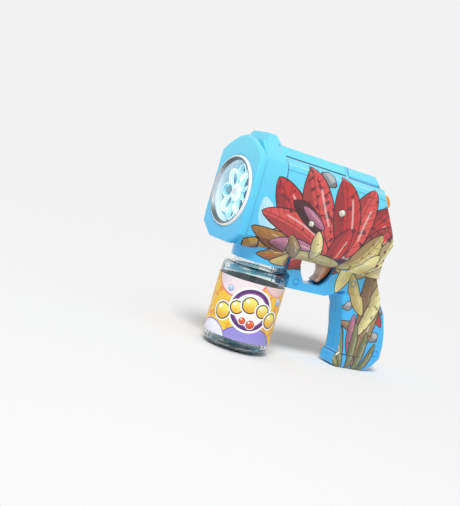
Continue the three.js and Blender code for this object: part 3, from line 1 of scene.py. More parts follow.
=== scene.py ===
# Looks of the bubble gun: finishes, printed side and label, rounded mouldings, light and camera.
import json
import math

import bpy
from mathutils import Matrix, Vector


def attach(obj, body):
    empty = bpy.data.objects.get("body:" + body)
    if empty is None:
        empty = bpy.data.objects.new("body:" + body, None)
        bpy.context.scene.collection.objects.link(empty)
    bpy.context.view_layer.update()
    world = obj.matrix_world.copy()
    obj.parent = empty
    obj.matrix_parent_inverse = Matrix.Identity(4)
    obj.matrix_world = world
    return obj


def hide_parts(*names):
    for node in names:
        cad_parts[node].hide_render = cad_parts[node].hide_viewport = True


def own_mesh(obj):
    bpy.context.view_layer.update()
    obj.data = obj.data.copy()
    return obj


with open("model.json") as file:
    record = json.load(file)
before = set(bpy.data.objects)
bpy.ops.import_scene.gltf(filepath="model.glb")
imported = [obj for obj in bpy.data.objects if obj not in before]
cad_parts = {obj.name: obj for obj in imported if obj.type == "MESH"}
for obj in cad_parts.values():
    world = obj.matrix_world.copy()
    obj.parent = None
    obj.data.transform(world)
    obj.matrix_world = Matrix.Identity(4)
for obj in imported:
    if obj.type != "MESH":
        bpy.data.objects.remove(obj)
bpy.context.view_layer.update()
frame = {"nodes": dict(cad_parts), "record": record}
mm = 0.001

# Places on the gun in millimetres. The prints are drawn in the same units.
AXIS_Z = 115.5  # height of the barrel's axis, round which the wheel turns
BARREL_FLOOR = 79.05  # below this height the shells wear the handle's print
PRINT_SEAM = 36  # the barrel's print is made in two lengths, which meet at this x
BARREL_SIDE, HANDLE_SIDE = 13.0, 8.2  # the prints start this far from the gun's middle plane
PANEL_FRONT, PANEL_BACK = 45.2, 78  # ends of the thumb panel along the barrel
PANEL_FOOT, PANEL_TOP = 149.4, 157.4  # heights of its foot and top
LAMP_OFFSET = 10.6  # each lamp lies this far beside the axis and this far above or below it
PETAL_ORBIT, PETAL_LONG, PETAL_WIDE = 13.4, 7.5, 5.2  # a petal's middle, and the half sizes of its rim
PETALS, HUB_RADIUS = 8, 5.6
# The recess and the groove are drawn dark with painted shadow.
RECESS_RADIUS, GROOVE_RADIUS = 24.7, 25.1  # the muzzle ring's dark recess and the groove round it
RECESS_BACK = -39.1  # the recess runs from the ring's face to this x
BOTTLE_FOOT, BOTTLE_SHOULDER = 5, 62  # heights at which the bottle's wall is thick
LABEL_MIDDLE = 32.3  # height of the label's middle
LABEL_PRINTED, LABEL_PLAIN = 26.0, 25.93  # printed beyond the first radius, plain within the second
WRAP_RADIUS = 25.8  # the label's pattern is rolled round this radius
TOWARDS_CAMERA = math.radians(-31.195)  # the camera's turn round the gun


def srgb(r, g, b):
    """A colour written in 0 to 255, as Blender's shaders want it."""
    def linear(value):
        value = value / 255
        return value / 12.92 if value <= 0.04045 else ((value + 0.055) / 1.055) ** 2.4
    return (linear(r), linear(g), linear(b), 1.0)


# Node trees
class Tree:
    """Short calls for building a node tree: sockets, numbers and vectors go in, a socket comes out."""

    def __init__(self, tree):
        self.tree = tree

    def node(self, kind, **settings):
        node = self.tree.nodes.new(kind)
        for key, value in settings.items():
            setattr(node, key, value)
        return node

    def feed(self, socket, value):
        if isinstance(value, bpy.types.NodeSocket):
            self.tree.links.new(value, socket)
        else:
            socket.default_value = value

    def math(self, operation, a, b=0.0, c=0.0):
        node = self.node("ShaderNodeMath", operation=operation)
        for socket, value in zip(node.inputs, (a, b, c)):
            self.feed(socket, value)
        return node.outputs[0]

    def plus(self, a, b):
        return self.math("ADD", a, b)

    def minus(self, a, b):
        return self.math("SUBTRACT", a, b)

    def times(self, first, *others):
        for other in others:
            first = self.math("MULTIPLY", first, other)
        return first

    def over(self, a, b):
        return self.math("DIVIDE", a, b)

    def most(self, first, *others):
        for other in others:
            first = self.math("MAXIMUM", first, other)
        return first

    def absolute(self, value):
        return self.math("ABSOLUTE", value)

    def vector(self, operation, a, b=None):
        node = self.node("ShaderNodeVectorMath", operation=operation)
        self.feed(node.inputs[0], a)
        if b is not None:
            self.feed(node.inputs[1], b)
        answers_a_number = operation in ("LENGTH", "DOT_PRODUCT", "DISTANCE")
        return node.outputs["Value" if answers_a_number else "Vector"]

    def scale(self, vector, by):
        node = self.node("ShaderNodeVectorMath", operation="SCALE")
        self.feed(node.inputs[0], vector)
        self.feed(node.inputs["Scale"], by)
        return node.outputs["Vector"]

    def split(self, vector):
        node = self.node("ShaderNodeSeparateXYZ")
        self.feed(node.inputs[0], vector)
        return node.outputs

    def join(self, x=0.0, y=0.0, z=0.0):
        node = self.node("ShaderNodeCombineXYZ")
        for socket, value in zip(node.inputs, (x, y, z)):
            self.feed(socket, value)
        return node.outputs[0]

    def mix(self, factor, a, b):
        node = self.node("ShaderNodeMix", data_type="RGBA")
        self.feed(node.inputs["Factor"], factor)
        self.feed(node.inputs["A"], a)
        self.feed(node.inputs["B"], b)
        return node.outputs["Result"]

    def smooth(self, value, low, high, first=0.0, last=1.0):
        """A soft step from first to last as the value goes from low to high. Low may be the larger one."""
        node = self.node("ShaderNodeMapRange", interpolation_type="SMOOTHSTEP")
        names = ("Value", "From Min", "From Max", "To Min", "To Max")
        for name, given in zip(names, (value, low, high, first, last)):
            self.feed(node.inputs[name], given)
        return node.outputs["Result"]

    def noise(self, vector, scale, detail=2.0, roughness=0.5):
        node = self.node("ShaderNodeTexNoise")
        names = ("Vector", "Scale", "Detail", "Roughness")
        for name, given in zip(names, (vector, scale, detail, roughness)):
            self.feed(node.inputs[name], given)
        return node.outputs["Fac"]

    def place(self):
        return self.node("ShaderNodeTexCoord").outputs["Object"]

    def place_mm(self):
        """The place on the piece in millimetres, as X, Y and Z."""
        return self.split(self.scale(self.place(), 1 / mm))

    def group(self, group, **given):
        node = self.node("ShaderNodeGroup")
        node.node_tree = group
        for name, value in given.items():
            self.feed(node.inputs[name], value)
        return node.outputs


def new_group(name, inputs, outputs):
    """A shader node group with inputs, each (name, kind, default), and outputs, each (name, kind)."""
    group = bpy.data.node_groups.new(name, "ShaderNodeTree")
    for label, kind, default in inputs:
        socket = group.interface.new_socket(label, in_out="INPUT", socket_type="NodeSocket" + kind)
        socket.default_value = default
    for label, kind in outputs:
        group.interface.new_socket(label, in_out="OUTPUT", socket_type="NodeSocket" + kind)
    tree = Tree(group)
    return group, tree, tree.node("NodeGroupInput").outputs, tree.node("NodeGroupOutput").inputs


# Finishes
def moulded_group():
    """Fine marks of moulded plastic: a slight waviness, a dust-fine grain and a few smudges."""
    group, t, given, out = new_group(
        "moulded surface", [("Roughness", "Float", 0.3), ("Grain", "Float", 1.0)],
        [("Roughness", "Float"), ("Height", "Float"), ("Shade", "Float")],
    )
    place = t.place()
    wave = t.noise(place, 90.0, 2.0)
    grain = t.noise(place, 1800.0, 2.0)
    smudge = t.noise(place, 28.0, 4.0, 0.6)
    t.feed(out["Roughness"], t.plus(given["Roughness"], t.smooth(smudge, 0.35, 0.75, -0.04, 0.07)))
    t.feed(out["Height"], t.plus(t.times(wave, 0.6), t.times(grain, 0.1, given["Grain"])))
    t.feed(out["Shade"], t.smooth(smudge, 0.3, 0.8, 0.0, 1.0))
    return group


moulded = moulded_group()


def sky_painted_shade_group():
    """The body's sky blue with painted shade: darker at the foot of the handle, paler towards the top of the
    barrel.
    """
    group, t, _, out = new_group("sky blue", [], [("Colour", "Color")])
    height = t.place_mm()["Z"]
    low = t.mix(t.smooth(height, 40, 120), srgb(62, 182, 246), srgb(88, 206, 248))
    colour = t.mix(t.smooth(height, 100, 165), low, srgb(112, 222, 248))
    t.feed(out["Colour"], colour)
    return group


sky = sky_painted_shade_group()


def new_material(name):
    material = bpy.data.materials.new(name)
    material.use_nodes = True
    tree = material.node_tree
    shader = tree.nodes["Principled BSDF"]
    return material, Tree(tree), shader


def surface(t, shader, roughness, grain=1.0, height=0.12 * mm):
    """Gives a shader the moulded surface's roughness and normal, and hands back its shade."""
    marks = t.group(moulded, Roughness=roughness, Grain=grain)
    t.feed(shader.inputs["Roughness"], marks["Roughness"])
    bump = t.node("ShaderNodeBump")
    bump.inputs["Strength"].default_value = 0.35
    bump.inputs["Distance"].default_value = height
    t.feed(bump.inputs["Height"], marks["Height"])
    t.feed(shader.inputs["Normal"], bump.outputs["Normal"])
    return marks["Shade"]


def gloss(shader, weight, roughness=0.12):
    """A clear coat over the colour, as on polished mouldings."""
    shader.inputs["Coat Weight"].default_value = weight
    shader.inputs["Coat Roughness"].default_value = roughness


def smudged(t, shader, shade, colour):
    """Gives a shader its colour, a little darker where the surface is smudged."""
    t.feed(shader.inputs["Base Color"], t.mix(t.times(shade, 0.07), colour, (0, 0, 0, 1)))


def plastic(name, colour, roughness=0.3, coat=0.0):
    material, t, shader = new_material(name)
    smudged(t, shader, surface(t, shader, roughness), colour)
    gloss(shader, coat)
    return material


def sky_blue_plastic():
    """The body's plastic where nothing is printed on it, with painted shade that pales towards the top."""
    material, t, shader = new_material("sky blue plastic")
    smudged(t, shader, surface(t, shader, 0.26), t.group(sky)["Colour"])
    gloss(shader, 0.3)
    return material


def metal(name, colour, roughness=0.3):
    material, t, shader = new_material(name)
    surface(t, shader, roughness, grain=2.0)
    shader.inputs["Base Color"].default_value = colour
    shader.inputs["Metallic"].default_value = 1.0
    return material


def tinted(colour, tint):
    """A colour with each of its channels weakened."""
    return tuple(channel * share for channel, share in zip(colour[:3], tint)) + (1.0,)


def clear(name, colour, roughness=0.06, ior=1.49):
    material, t, shader = new_material(name)
    shade = surface(t, shader, roughness, grain=0.2, height=0.06 * mm)
    t.feed(shader.inputs["Base Color"], t.mix(shade, colour, tinted(colour, (0.86, 0.96, 1.0))))
    shader.inputs["Transmission Weight"].default_value = 1.0
    shader.inputs["IOR"].default_value = ior
    return material


def glowing(name, colour, strength):
    material, t, shader = new_material(name)
    shade = surface(t, shader, 0.15, grain=0.4)
    light = t.mix(shade, colour, tinted(colour, (0.6, 0.85, 1.0)))
    t.feed(shader.inputs["Base Color"], light)
    t.feed(shader.inputs["Emission Color"], light)
    shader.inputs["Emission Strength"].default_value = strength
    return material


def trigger_plastic():
    """Brown plastic with a painted highlight, rosy along the front, and painted shade, darker towards the
    body.
    """
    material, t, shader = new_material("trigger plastic")
    surface(t, shader, 0.2)
    place = t.place_mm()
    front = t.smooth(place["Z"], 66, 80, 54.5, 58.5)  # x of the front, which leans back
    behind = t.minus(place["X"], front)
    # Painted highlight along the front edge.
    colour = t.mix(t.smooth(behind, 5.5, 1.5), srgb(190, 112, 62), srgb(246, 196, 160))
    # Painted shade towards the top, where the trigger meets the body.
    t.feed(shader.inputs["Base Color"], t.mix(t.smooth(place["Z"], 72, 82), colour, srgb(150, 84, 50)))
    gloss(shader, 0.5, roughness=0.1)
    return material


blue = sky_blue_plastic()
white = plastic("white plastic", srgb(226, 232, 238), roughness=0.24, coat=0.2)
orange = plastic("orange plastic", srgb(240, 150, 40), roughness=0.28, coat=0.2)
amber = trigger_plastic()
grey = plastic("grey plastic", srgb(150, 158, 164), roughness=0.4)
dark = plastic("black rubber", srgb(36, 39, 44), roughness=0.65)
steel = metal("steel", srgb(190, 194, 200), roughness=0.28)
green = plastic("circuit board", srgb(40, 120, 70), roughness=0.35, coat=0.3)
crystal = clear("clear plastic", srgb(235, 250, 252))
yellow = plastic("yellow print", srgb(242, 194, 40), roughness=0.3)
lamp_glow = glowing("lamp light", srgb(200, 240, 255), strength=4.0)

by_slot = {
    "blue": blue, "white": white, "grey": grey, "orange": orange, "amber": amber, "steel": steel,
    "board": green, "rubber": dark, "clear": crystal, "label": yellow, "cell": yellow, "motor": steel,
}
slot_of = {row["node"]: row["material_slot"] for row in frame["record"]["subparts"]}
body_of = {
    node: body for body, nodes in frame["record"]["behaviour"]["bodies"].items() for node in nodes
}


def dress(node_name, material):
    frame["nodes"][node_name].data.materials.clear()
    frame["nodes"][node_name].data.materials.append(material)


for name in frame["nodes"]:
    dress(name, by_slot[slot_of[name]])
for number in range(1, 5):
    dress(f"led_{number}", lamp_glow)


# Printed sides
OUTLINE = srgb(38, 22, 26)


def painted_leaf_group():
    """One printed leaf with a dark outline, drawn over what is under it. Its sizes are in millimetres."""
    group, t, given, out = new_group(
        "painted leaf",
        [
            ("Place", "Vector", (0, 0, 0)), ("Under", "Color", (1, 1, 1, 1)), ("Foot", "Vector", (0, 0, 0)),
            ("Tip", "Vector", (0, 1, 0)), ("Width", "Float", 5.0), ("Bend", "Float", 0.0),
            ("Line", "Float", 0.8), ("Colour", "Color", (1, 0, 0, 1)), ("Shadow", "Color", (0, 0, 0, 1)),
            ("Veins", "Float", 7.0), ("Blotch", "Float", 0.0), ("Spread", "Float", 0.0),
        ],
        [("Colour", "Color")],
    )
    way = t.vector("SUBTRACT", given["Tip"], given["Foot"])
    length = t.vector("LENGTH", way)
    along = t.vector("NORMALIZE", way)
    reach = t.vector("SUBTRACT", given["Place"], given["Foot"])
    u = t.over(t.vector("DOT_PRODUCT", reach, along), length)
    side = t.split(t.vector("CROSS_PRODUCT", along, reach))["Z"]
    bow = t.times(u, t.minus(1.0, u), 4.0)
    v = t.minus(side, t.times(given["Bend"], bow))
    width = t.times(given["Width"], t.math("POWER", t.most(bow, 0.0001), 0.7))
    beyond = t.times(t.most(t.minus(t.absolute(t.minus(u, 0.5)), 0.5), 0.0), length)
    edge = t.minus(t.minus(width, t.absolute(v)), beyond)
    across = t.over(v, given["Width"])
    vein_place = t.minus(t.times(u, given["Veins"]), t.times(t.absolute(across), 1.1))
    side_veins = t.smooth(t.math("FRACT", vein_place), 0.16, 0.06)
    lines = t.most(side_veins, t.smooth(t.absolute(across), 0.09, 0.04))
    dark_side = t.smooth(across, 0.12, 0.3)
    spots = t.smooth(t.minus(given["Spread"], given["Blotch"]), -0.02, 0.02)
    shade = t.most(t.times(lines, 0.6), t.times(dark_side, 0.62), spots)
    inside = t.mix(shade, given["Colour"], given["Shadow"])
    gleam_line = t.smooth(t.absolute(t.plus(across, 0.42)), 0.1, 0.04)
    gleam = t.times(gleam_line, t.smooth(bow, 0.75, 0.85))
    inside = t.mix(t.times(gleam, 0.4), inside, (1, 0.9, 0.85, 1))
    drawn = t.mix(t.smooth(edge, -0.12, 0.12), OUTLINE, inside)
    covers = t.smooth(t.plus(edge, given["Line"]), -0.12, 0.12)
    t.feed(out["Colour"], t.mix(covers, given["Under"], drawn))
    return group


def painted_stone_group():
    """One printed stone with three flat faces and a dark outline, drawn over what is under it."""
    group, t, given, out = new_group(
        "painted stone",
        [
            ("Place", "Vector", (0, 0, 0)), ("Under", "Color", (1, 1, 1, 1)),
            ("Middle", "Vector", (0, 0, 0)), ("Size", "Vector", (5, 5, 1)), ("Turn", "Float", 0.0),
            ("Line", "Float", 0.8),
            ("Colour", "Color", (0.5, 0.5, 0.5, 1)), ("Shadow", "Color", (0.2, 0.2, 0.2, 1)),
        ],
        [("Colour", "Color")],
    )
    turned = t.node("ShaderNodeVectorRotate", rotation_type="Z_AXIS")
    t.feed(turned.inputs["Vector"], t.vector("SUBTRACT", given["Place"], given["Middle"]))
    t.feed(turned.inputs["Angle"], given["Turn"])
    spot = t.split(t.vector("DIVIDE", turned.outputs[0], given["Size"]))
    x, y = spot["X"], spot["Y"]
    slant = t.plus(t.times(x, 0.8), t.times(y, 0.75))
    counter = t.minus(t.times(x, 0.85), t.times(y, 0.7))
    square = t.most(t.absolute(x), t.absolute(y))
    far = t.most(square, t.absolute(slant), t.times(t.absolute(counter), 1.12))
    size = t.split(given["Size"])
    edge = t.times(t.minus(1.0, far), t.math("MINIMUM", size["X"], size["Y"]))
    dark = t.times(t.smooth(t.plus(y, t.times(x, 0.35)), 0.06, -0.02), 0.75)
    darker = t.smooth(t.minus(x, t.times(y, 0.4)), 0.42, 0.48)
    inside = t.mix(t.most(dark, darker), given["Colour"], given["Shadow"])
    drawn = t.mix(t.smooth(edge, -0.12, 0.12), OUTLINE, inside)
    covers = t.smooth(t.plus(edge, given["Line"]), -0.12, 0.12)
    t.feed(out["Colour"], t.mix(covers, given["Under"], drawn))
    return group


painted_leaf = painted_leaf_group()
painted_stone = painted_stone_group()

INK = {
    "red": srgb(216, 80, 79), "scarlet": srgb(196, 52, 56), "maroon": srgb(118, 34, 44),
    "plum": srgb(84, 30, 46), "rose": srgb(190, 122, 150), "mauve": srgb(120, 66, 92),
    "cream": srgb(233, 226, 160), "straw": srgb(206, 190, 118), "khaki": srgb(160, 138, 96),
    "brown": srgb(112, 70, 54), "tan": srgb(207, 160, 85), "ochre": srgb(168, 116, 52),
    "grey": srgb(176, 180, 180), "slate": srgb(120, 124, 128), "spray": srgb(196, 238, 252),
    "pale": srgb(150, 220, 248), "olive": srgb(132, 138, 96), "moss": srgb(92, 98, 66),
    "black": srgb(30, 20, 24), "amber": srgb(242, 160, 60), "white": srgb(238, 236, 226),
    "bone": srgb(190, 186, 170), "navy": srgb(28, 92, 140),
}

# Stones: middle x, z, half width, half height, turn, ink, shadow, line.
# Leaves: foot x, z, tip x, z, half width, bend, ink, shadow, veins, spread of blotches, line.
# All in millimetres, the ones at the back first.
BARREL_PRINT = [
    ("leaf", 13, 148, 19, 126, 0.3, -1.2, "navy", "navy", 1, 0, 0.1),
    ("leaf", -15.5, 148, -13.5, 118, 0.3, 1.2, "navy", "navy", 1, 0, 0.1),
    ("leaf", -6, 90, -27, 118, 8, 3, "spray", "pale", 3, 0, 0),
    ("leaf", 2, 94, -12, 126, 7, -3, "spray", "pale", 3, 0, 0),
    ("stone", 24, 143, 7.5, 5, 0.5, "grey", "slate", 0.7),
    ("stone", 88, 131, 8, 6, -0.5, "grey", "slate", 0.7),
    ("leaf", 64, 118, 100, 134, 5, 2, "amber", "ochre", 6, 0, 0.7),
    ("leaf", -6, 99, 100, 98, 20, 0, "plum", "black", 7, 0, 0.9),
    ("leaf", 22, 98, -28, 83, 8, -1, "tan", "ochre", 6, 0, 0.8),
    ("leaf", 40, 92, -31, 95, 7, 5, "ochre", "brown", 7, 0, 0.8),
    ("leaf", 32, 92, -20, 134, 12.5, 3, "scarlet", "maroon", 7, 0.41, 0.9),
    ("leaf", 66, 90, 94, 136, 12.5, 3, "scarlet", "maroon", 7, 0.4, 0.9),
    ("leaf", 60, 90, 70, 146, 12.5, 2, "red", "maroon", 8, 0.38, 0.9),
    ("leaf", 42, 92, 6, 148, 13.5, 2, "red", "maroon", 8, 0.42, 0.9),
    ("leaf", 56, 90, 38, 148, 12.5, -3, "scarlet", "maroon", 7, 0.34, 0.9),
    ("leaf", 72, 86, 103, 122, 9.5, 3, "red", "maroon", 7, 0.44, 0.9),
    ("leaf", 44, 86, -26, 108, 9.5, -5, "red", "maroon", 9, 0.32, 0.9),
    ("leaf", 38, 84, -12, 88, 6, -2, "rose", "mauve", 8, 0, 0.8),
    ("leaf", 30, 102, -2, 121, 6, -2, "plum", "black", 5, 0, 0.8),
    ("leaf", 32, 106, 8, 119, 3.4, 0, "rose", "mauve", 5, 0, 0.7),
    ("leaf", 84, 76, 104, 116, 9, -3, "cream", "brown", 7, 0.36, 0.9),
    ("leaf", 62, 80, 90, 114, 8.5, -3, "straw", "brown", 7, 0.34, 0.9),
    ("leaf", 92, 74, 116, 102, 7.5, -2, "cream", "khaki", 6, 0.34, 0.9),
    ("leaf", 46, 78, 58, 112, 7.5, 2, "scarlet", "maroon", 6, 0.34, 0.9),
    ("leaf", 62, 82, 6, 82, 6, 1, "straw", "khaki", 8, 0.29, 0.8),
    ("leaf", 34, 82, 28, 104, 5, 1, "cream", "khaki", 6, 0.3, 0.8),
    ("leaf", 20, 79, 4, 96, 4.5, 1, "khaki", "brown", 5, 0, 0.8),
    ("stone", -24, 83, 7, 4.5, 0.3, "tan", "ochre", 0.8),
    ("stone", 44, 122, 3.4, 2.6, 0.2, "white", "bone", 0.6),
    ("stone", 19, 108, 2.6, 2.2, 0.8, "white", "bone", 0.6),
    ("leaf", 92, 98, 76, 64, 6.5, -2, "cream", "straw", 7, 0.24, 0.8),
]
HANDLE_PRINT = [
    ("leaf", 30, 84, -14, 76, 5, 0, "ochre", "brown", 7, 0, 0.8),
    ("leaf", 54, 86, -4, 73, 5.5, 0, "straw", "khaki", 8, 0.26, 0.8),
    ("leaf", 62, 84, 10, 74, 7, 0, "khaki", "brown", 8, 0.26, 0.8),
    ("leaf", 46, 88, 14, 70, 5.5, 1, "red", "maroon", 7, 0.3, 0.8),
    ("leaf", 82, 90, 42, 74, 7, 2, "red", "maroon", 7, 0.3, 0.8),
    ("leaf", 106, 84, 68, 78, 6, 1, "straw", "khaki", 7, 0.26, 0.8),
    ("leaf", 92, 98, 74, 60, 6.5, -2, "cream", "straw", 7, 0.24, 0.8),
    ("stone", 120, 52, 6.5, 4, 0.2, "grey", "slate", 0.7),
    ("stone", 90, 52, 5, 3.5, -0.4, "grey", "slate", 0.7),
    ("stone", 125, 30, 5, 4.5, 0.6, "grey", "slate", 0.7),
    ("leaf", 100, 60, 130, 40, 4, 2, "scarlet", "brown", 6, 0.3, 0.7),
    ("leaf", 114, 36, 88, 38, 4, 2, "khaki", "brown", 7, 0.24, 0.7),
    ("leaf", 112, 6, 106, 96, 10.5, -3, "khaki", "brown", 9, 0.36, 0.9),
    ("leaf", 106, 28, 120, 82, 6, -3, "cream", "khaki", 7, 0.38, 0.8),
    ("leaf", 106, 46, 86, 78, 5.5, 2, "straw", "khaki", 7, 0.24, 0.8),
    ("leaf", 112, 2, 98, 46, 4.2, 3, "rose", "brown", 7, 0.3, 0.7),
    ("leaf", 100, -3, 90, 34, 3.6, 2, "olive", "moss", 2, 0, 0.7),
    ("leaf", 106, -4, 103, 40, 3.4, -2, "olive", "moss", 2, 0, 0.7),
    ("leaf", 112, -4, 117, 33, 3.4, -2, "olive", "moss", 2, 0, 0.7),
    ("leaf", 117, -3, 129, 25, 3, -2, "olive", "moss", 2, 0, 0.7),
    ("leaf", 98, -3, 86, 19, 3.2, 2, "olive", "moss", 2, 0, 0.7),
]


def printed_group(name, rows, side):
    """Leaves and stones printed over a plain colour, on what lies further than side from the middle plane."""
    group, t, given, out = new_group(name, [("Plain", "Color", (1, 1, 1, 1))], [("Colour", "Color")])
    position = t.place_mm()
    across = t.absolute(position["Y"])
    place = t.join(position["X"], position["Z"])
    blotch = t.noise(place, 0.21, 1.0, 0.4)
    colour = given["Plain"]
    for kind, *row in rows:
        if kind == "stone":
            x, z, wide, tall, turn, ink, shadow, line = row
            colour = t.group(
                painted_stone, Place=place, Under=colour, Middle=(x, z, 0), Size=(wide, tall, 1), Turn=turn,
                Line=line, Colour=INK[ink], Shadow=INK[shadow],
            )["Colour"]
            continue
        x, z, tip_x, tip_z, wide, bend, ink, shadow, veins, spread, line = row
        colour = t.group(
            painted_leaf, Place=place, Under=colour, Foot=(x, z, 0), Tip=(tip_x, tip_z, 0), Width=wide,
            Bend=bend, Line=line, Colour=INK[ink], Shadow=INK[shadow], Veins=veins, Blotch=blotch,
            Spread=spread,
        )["Colour"]
    t.feed(out["Colour"], t.mix(t.smooth(across, side, side + 0.3), given["Plain"], colour))
    return group


def rows_between(rows, low, high):
    """The rows of a print that reach into a length of the barrel."""
    def spread(row):
        if row[0] == "stone":
            return row[1] - row[3] - row[4], row[1] + row[3] + row[4]
        reach = row[5] + abs(row[6]) + 1
        return min(row[1], row[3]) - reach, max(row[1], row[3]) + reach
    return [row for row in rows if spread(row)[1] > low and spread(row)[0] < high]


front_rows = rows_between(BARREL_PRINT, -60, PRINT_SEAM)
rear_rows = rows_between(BARREL_PRINT, PRINT_SEAM, 140)
front_print = printed_group("printed barrel front", front_rows, BARREL_SIDE)
rear_print = printed_group("printed barrel rear", rear_rows, BARREL_SIDE)
handle_print = printed_group("printed handle side", HANDLE_PRINT, HANDLE_SIDE)


def body_lines_group():
    """Lines on the body: painted shadow in the seams where mouldings meet, a painted highlight and a painted
    shade line along the barrel, and painted shade and shadow round the thumb panel.
    """
    group, t, given, out = new_group("body lines", [("Plain", "Color", (1, 1, 1, 1))], [("Colour", "Color")])
    place = t.place_mm()

    def line(axis, at, half, along, low, high):
        """A line of some half width across one axis, which runs from low to high along another."""
        near = t.smooth(t.absolute(t.minus(place[axis], at)), half + 0.12, half - 0.12)
        after = t.smooth(place[along], low - 0.2, low)
        before = t.smooth(place[along], high + 0.2, high)
        return t.times(near, t.times(after, before))

    # A painted highlight along the barrel's chamfer edge, and a painted shade line below it.
    pale = line("Z", 145.4, 0.5, "X", -15, 104)
    shade_line = line("Z", 141.3, 0.35, "X", -15, 108)
    colour = t.mix(t.times(pale, 0.6), given["Plain"], srgb(176, 240, 252))
    colour = t.mix(shade_line, colour, srgb(66, 176, 226))
    # Painted shadow in the seams under the top cover and across the handle's foot.
    cover = line("Z", 150.2, 0.4, "X", -16, 42.6)
    foot = line("Z", 11.5, 0.45, "X", 81, 117)
    # Painted shade in the thumb panel's recess, along its foot and its front.
    under_panel_shade = line("Z", PANEL_FOOT + 0.9, 1.0, "X", PANEL_FRONT, PANEL_BACK)
    before_panel_shade = line("X", PANEL_FRONT + 1.0, 1.1, "Z", PANEL_FOOT - 0.4, PANEL_TOP)
    colour = t.mix(t.times(t.most(under_panel_shade, before_panel_shade), 0.75), colour, srgb(60, 166, 222))
    # Painted shadow along the recess's foot and front edges.
    panel_foot_shadow = line("Z", PANEL_FOOT, 0.45, "X", PANEL_FRONT, PANEL_BACK)
    panel_front_shadow = line("X", PANEL_FRONT, 0.4, "Z", PANEL_FOOT - 0.4, PANEL_TOP)
    colour = t.mix(t.most(cover, foot), colour, srgb(24, 78, 122))
    t.feed(out["Colour"], t.mix(t.most(panel_foot_shadow, panel_front_shadow), colour, srgb(28, 100, 150)))
    return group


body_lines = body_lines_group()


def printed(name, print_group):
    """Moulded plastic with a print on its sides, over painted shade that pales towards the top and painted
    shadow and highlight lines along its seams and barrel.
    """
    material, t, shader = new_material(name)
    shade = surface(t, shader, 0.26)
    plain = t.group(body_lines, Plain=t.group(sky)["Colour"])["Colour"]
    smudged(t, shader, shade, t.group(print_group, Plain=plain)["Colour"])
    gloss(shader, 0.3)
    return material


printed_plastics = [
    printed("printed plastic, barrel front", front_print),
    printed("printed plastic, barrel rear", rear_print),
    printed("printed plastic, handle", handle_print),
]


# Bottle label
def painted_bubble_group():
    """One printed bubble: a disc that fades from top to bottom, with a rim, a pale halo and a gleam."""
    group, t, given, out = new_group(
        "painted bubble",
        [
            ("Place", "Vector", (0, 0, 0)), ("Under", "Color", (1, 1, 1, 1)),
            ("Middle", "Vector", (0, 0, 0)), ("Radius", "Float", 5.0), ("Rim", "Float", 0.8),
            ("Halo", "Float", 0.0), ("Gleam", "Float", 1.0), ("Top", "Color", (1, 1, 1, 1)),
            ("Bottom", "Color", (0.5, 0.5, 0.5, 1)), ("Edge", "Color", (0, 0, 0, 1)),
        ],
        [("Colour", "Color")],
    )
    reach = t.vector("SUBTRACT", given["Place"], given["Middle"])
    far = t.vector("LENGTH", reach)
    height = t.over(t.split(reach)["Y"], given["Radius"])
    inside = t.mix(t.smooth(height, 0.7, -0.8), given["Top"], given["Bottom"])
    spot = t.vector("DISTANCE", reach, t.scale(t.join(-0.38, 0.42), given["Radius"]))
    gleam = t.smooth(t.over(spot, given["Radius"]), 0.26, 0.14)
    inside = t.mix(t.times(gleam, given["Gleam"]), inside, (1, 1, 1, 1))
    edge = t.minus(given["Radius"], far)
    drawn = t.mix(t.smooth(t.minus(edge, given["Rim"]), -0.12, 0.12), given["Edge"], inside)
    drawn = t.mix(t.smooth(edge, -0.12, 0.12), (0.93, 0.93, 0.95, 1), drawn)
    covers = t.smooth(t.plus(edge, given["Halo"]), -0.12, 0.12)
    t.feed(out["Colour"], t.mix(covers, given["Under"], drawn))
    return group


# Bubbles on the label: along the wrap and up from the label's middle, radius, rim, halo, gleam, and the
# colours of top, bottom and edge.
LABEL_PRINT = [
    (-10, 31, 23, 1.2, 0, 0, (240, 236, 238), (236, 222, 226), (226, 120, 122)),
    (22, 29, 14, 1, 0, 0, (238, 232, 238), (236, 200, 202), (230, 156, 140)),
    (8, -35, 26, 0.9, 0, 0, (150, 142, 216), (240, 240, 252), (104, 92, 176)),
    (-24, -27, 15, 0.9, 0, 0, (240, 240, 252), (160, 150, 220), (128, 116, 196)),
    (4, 2, 15.6, 3.4, 1.6, 0, (250, 250, 252), (244, 244, 250), (92, 44, 112)),
    (4, 2, 12.9, 0.8, 0, 0, (252, 252, 254), (244, 244, 250), (150, 84, 160)),
    (-17, -4, 6.6, 0.9, 1.1, 1, (252, 236, 110), (232, 176, 48), (62, 36, 70)),
    (-6.5, 1.5, 5.2, 0.9, 1.1, 1, (252, 240, 130), (236, 184, 54), (62, 36, 70)),
    (3, 5.5, 6.4, 0.9, 1.1, 1, (252, 236, 110), (232, 176, 48), (62, 36, 70)),
    (13.5, 3, 5.4, 0.9, 1.1, 1, (252, 240, 130), (236, 184, 54), (62, 36, 70)),
    (23, -3, 6.2, 0.9, 1.1, 1, (252, 236, 110), (232, 176, 48), (62, 36, 70)),
    (0, -7, 2.6, 0.5, 0.6, 1, (240, 120, 70), (214, 72, 48), (150, 40, 36)),
    (6.5, -8.4, 3.3, 0.5, 0.6, 1, (240, 120, 70), (214, 72, 48), (150, 40, 36)),
    (-15, 14, 2.4, 0.4, 0, 1, (196, 232, 248), (150, 180, 232), (120, 110, 190)),
    (27, 12, 3, 0.4, 0, 1, (196, 232, 248), (150, 180, 232), (120, 110, 190)),
]


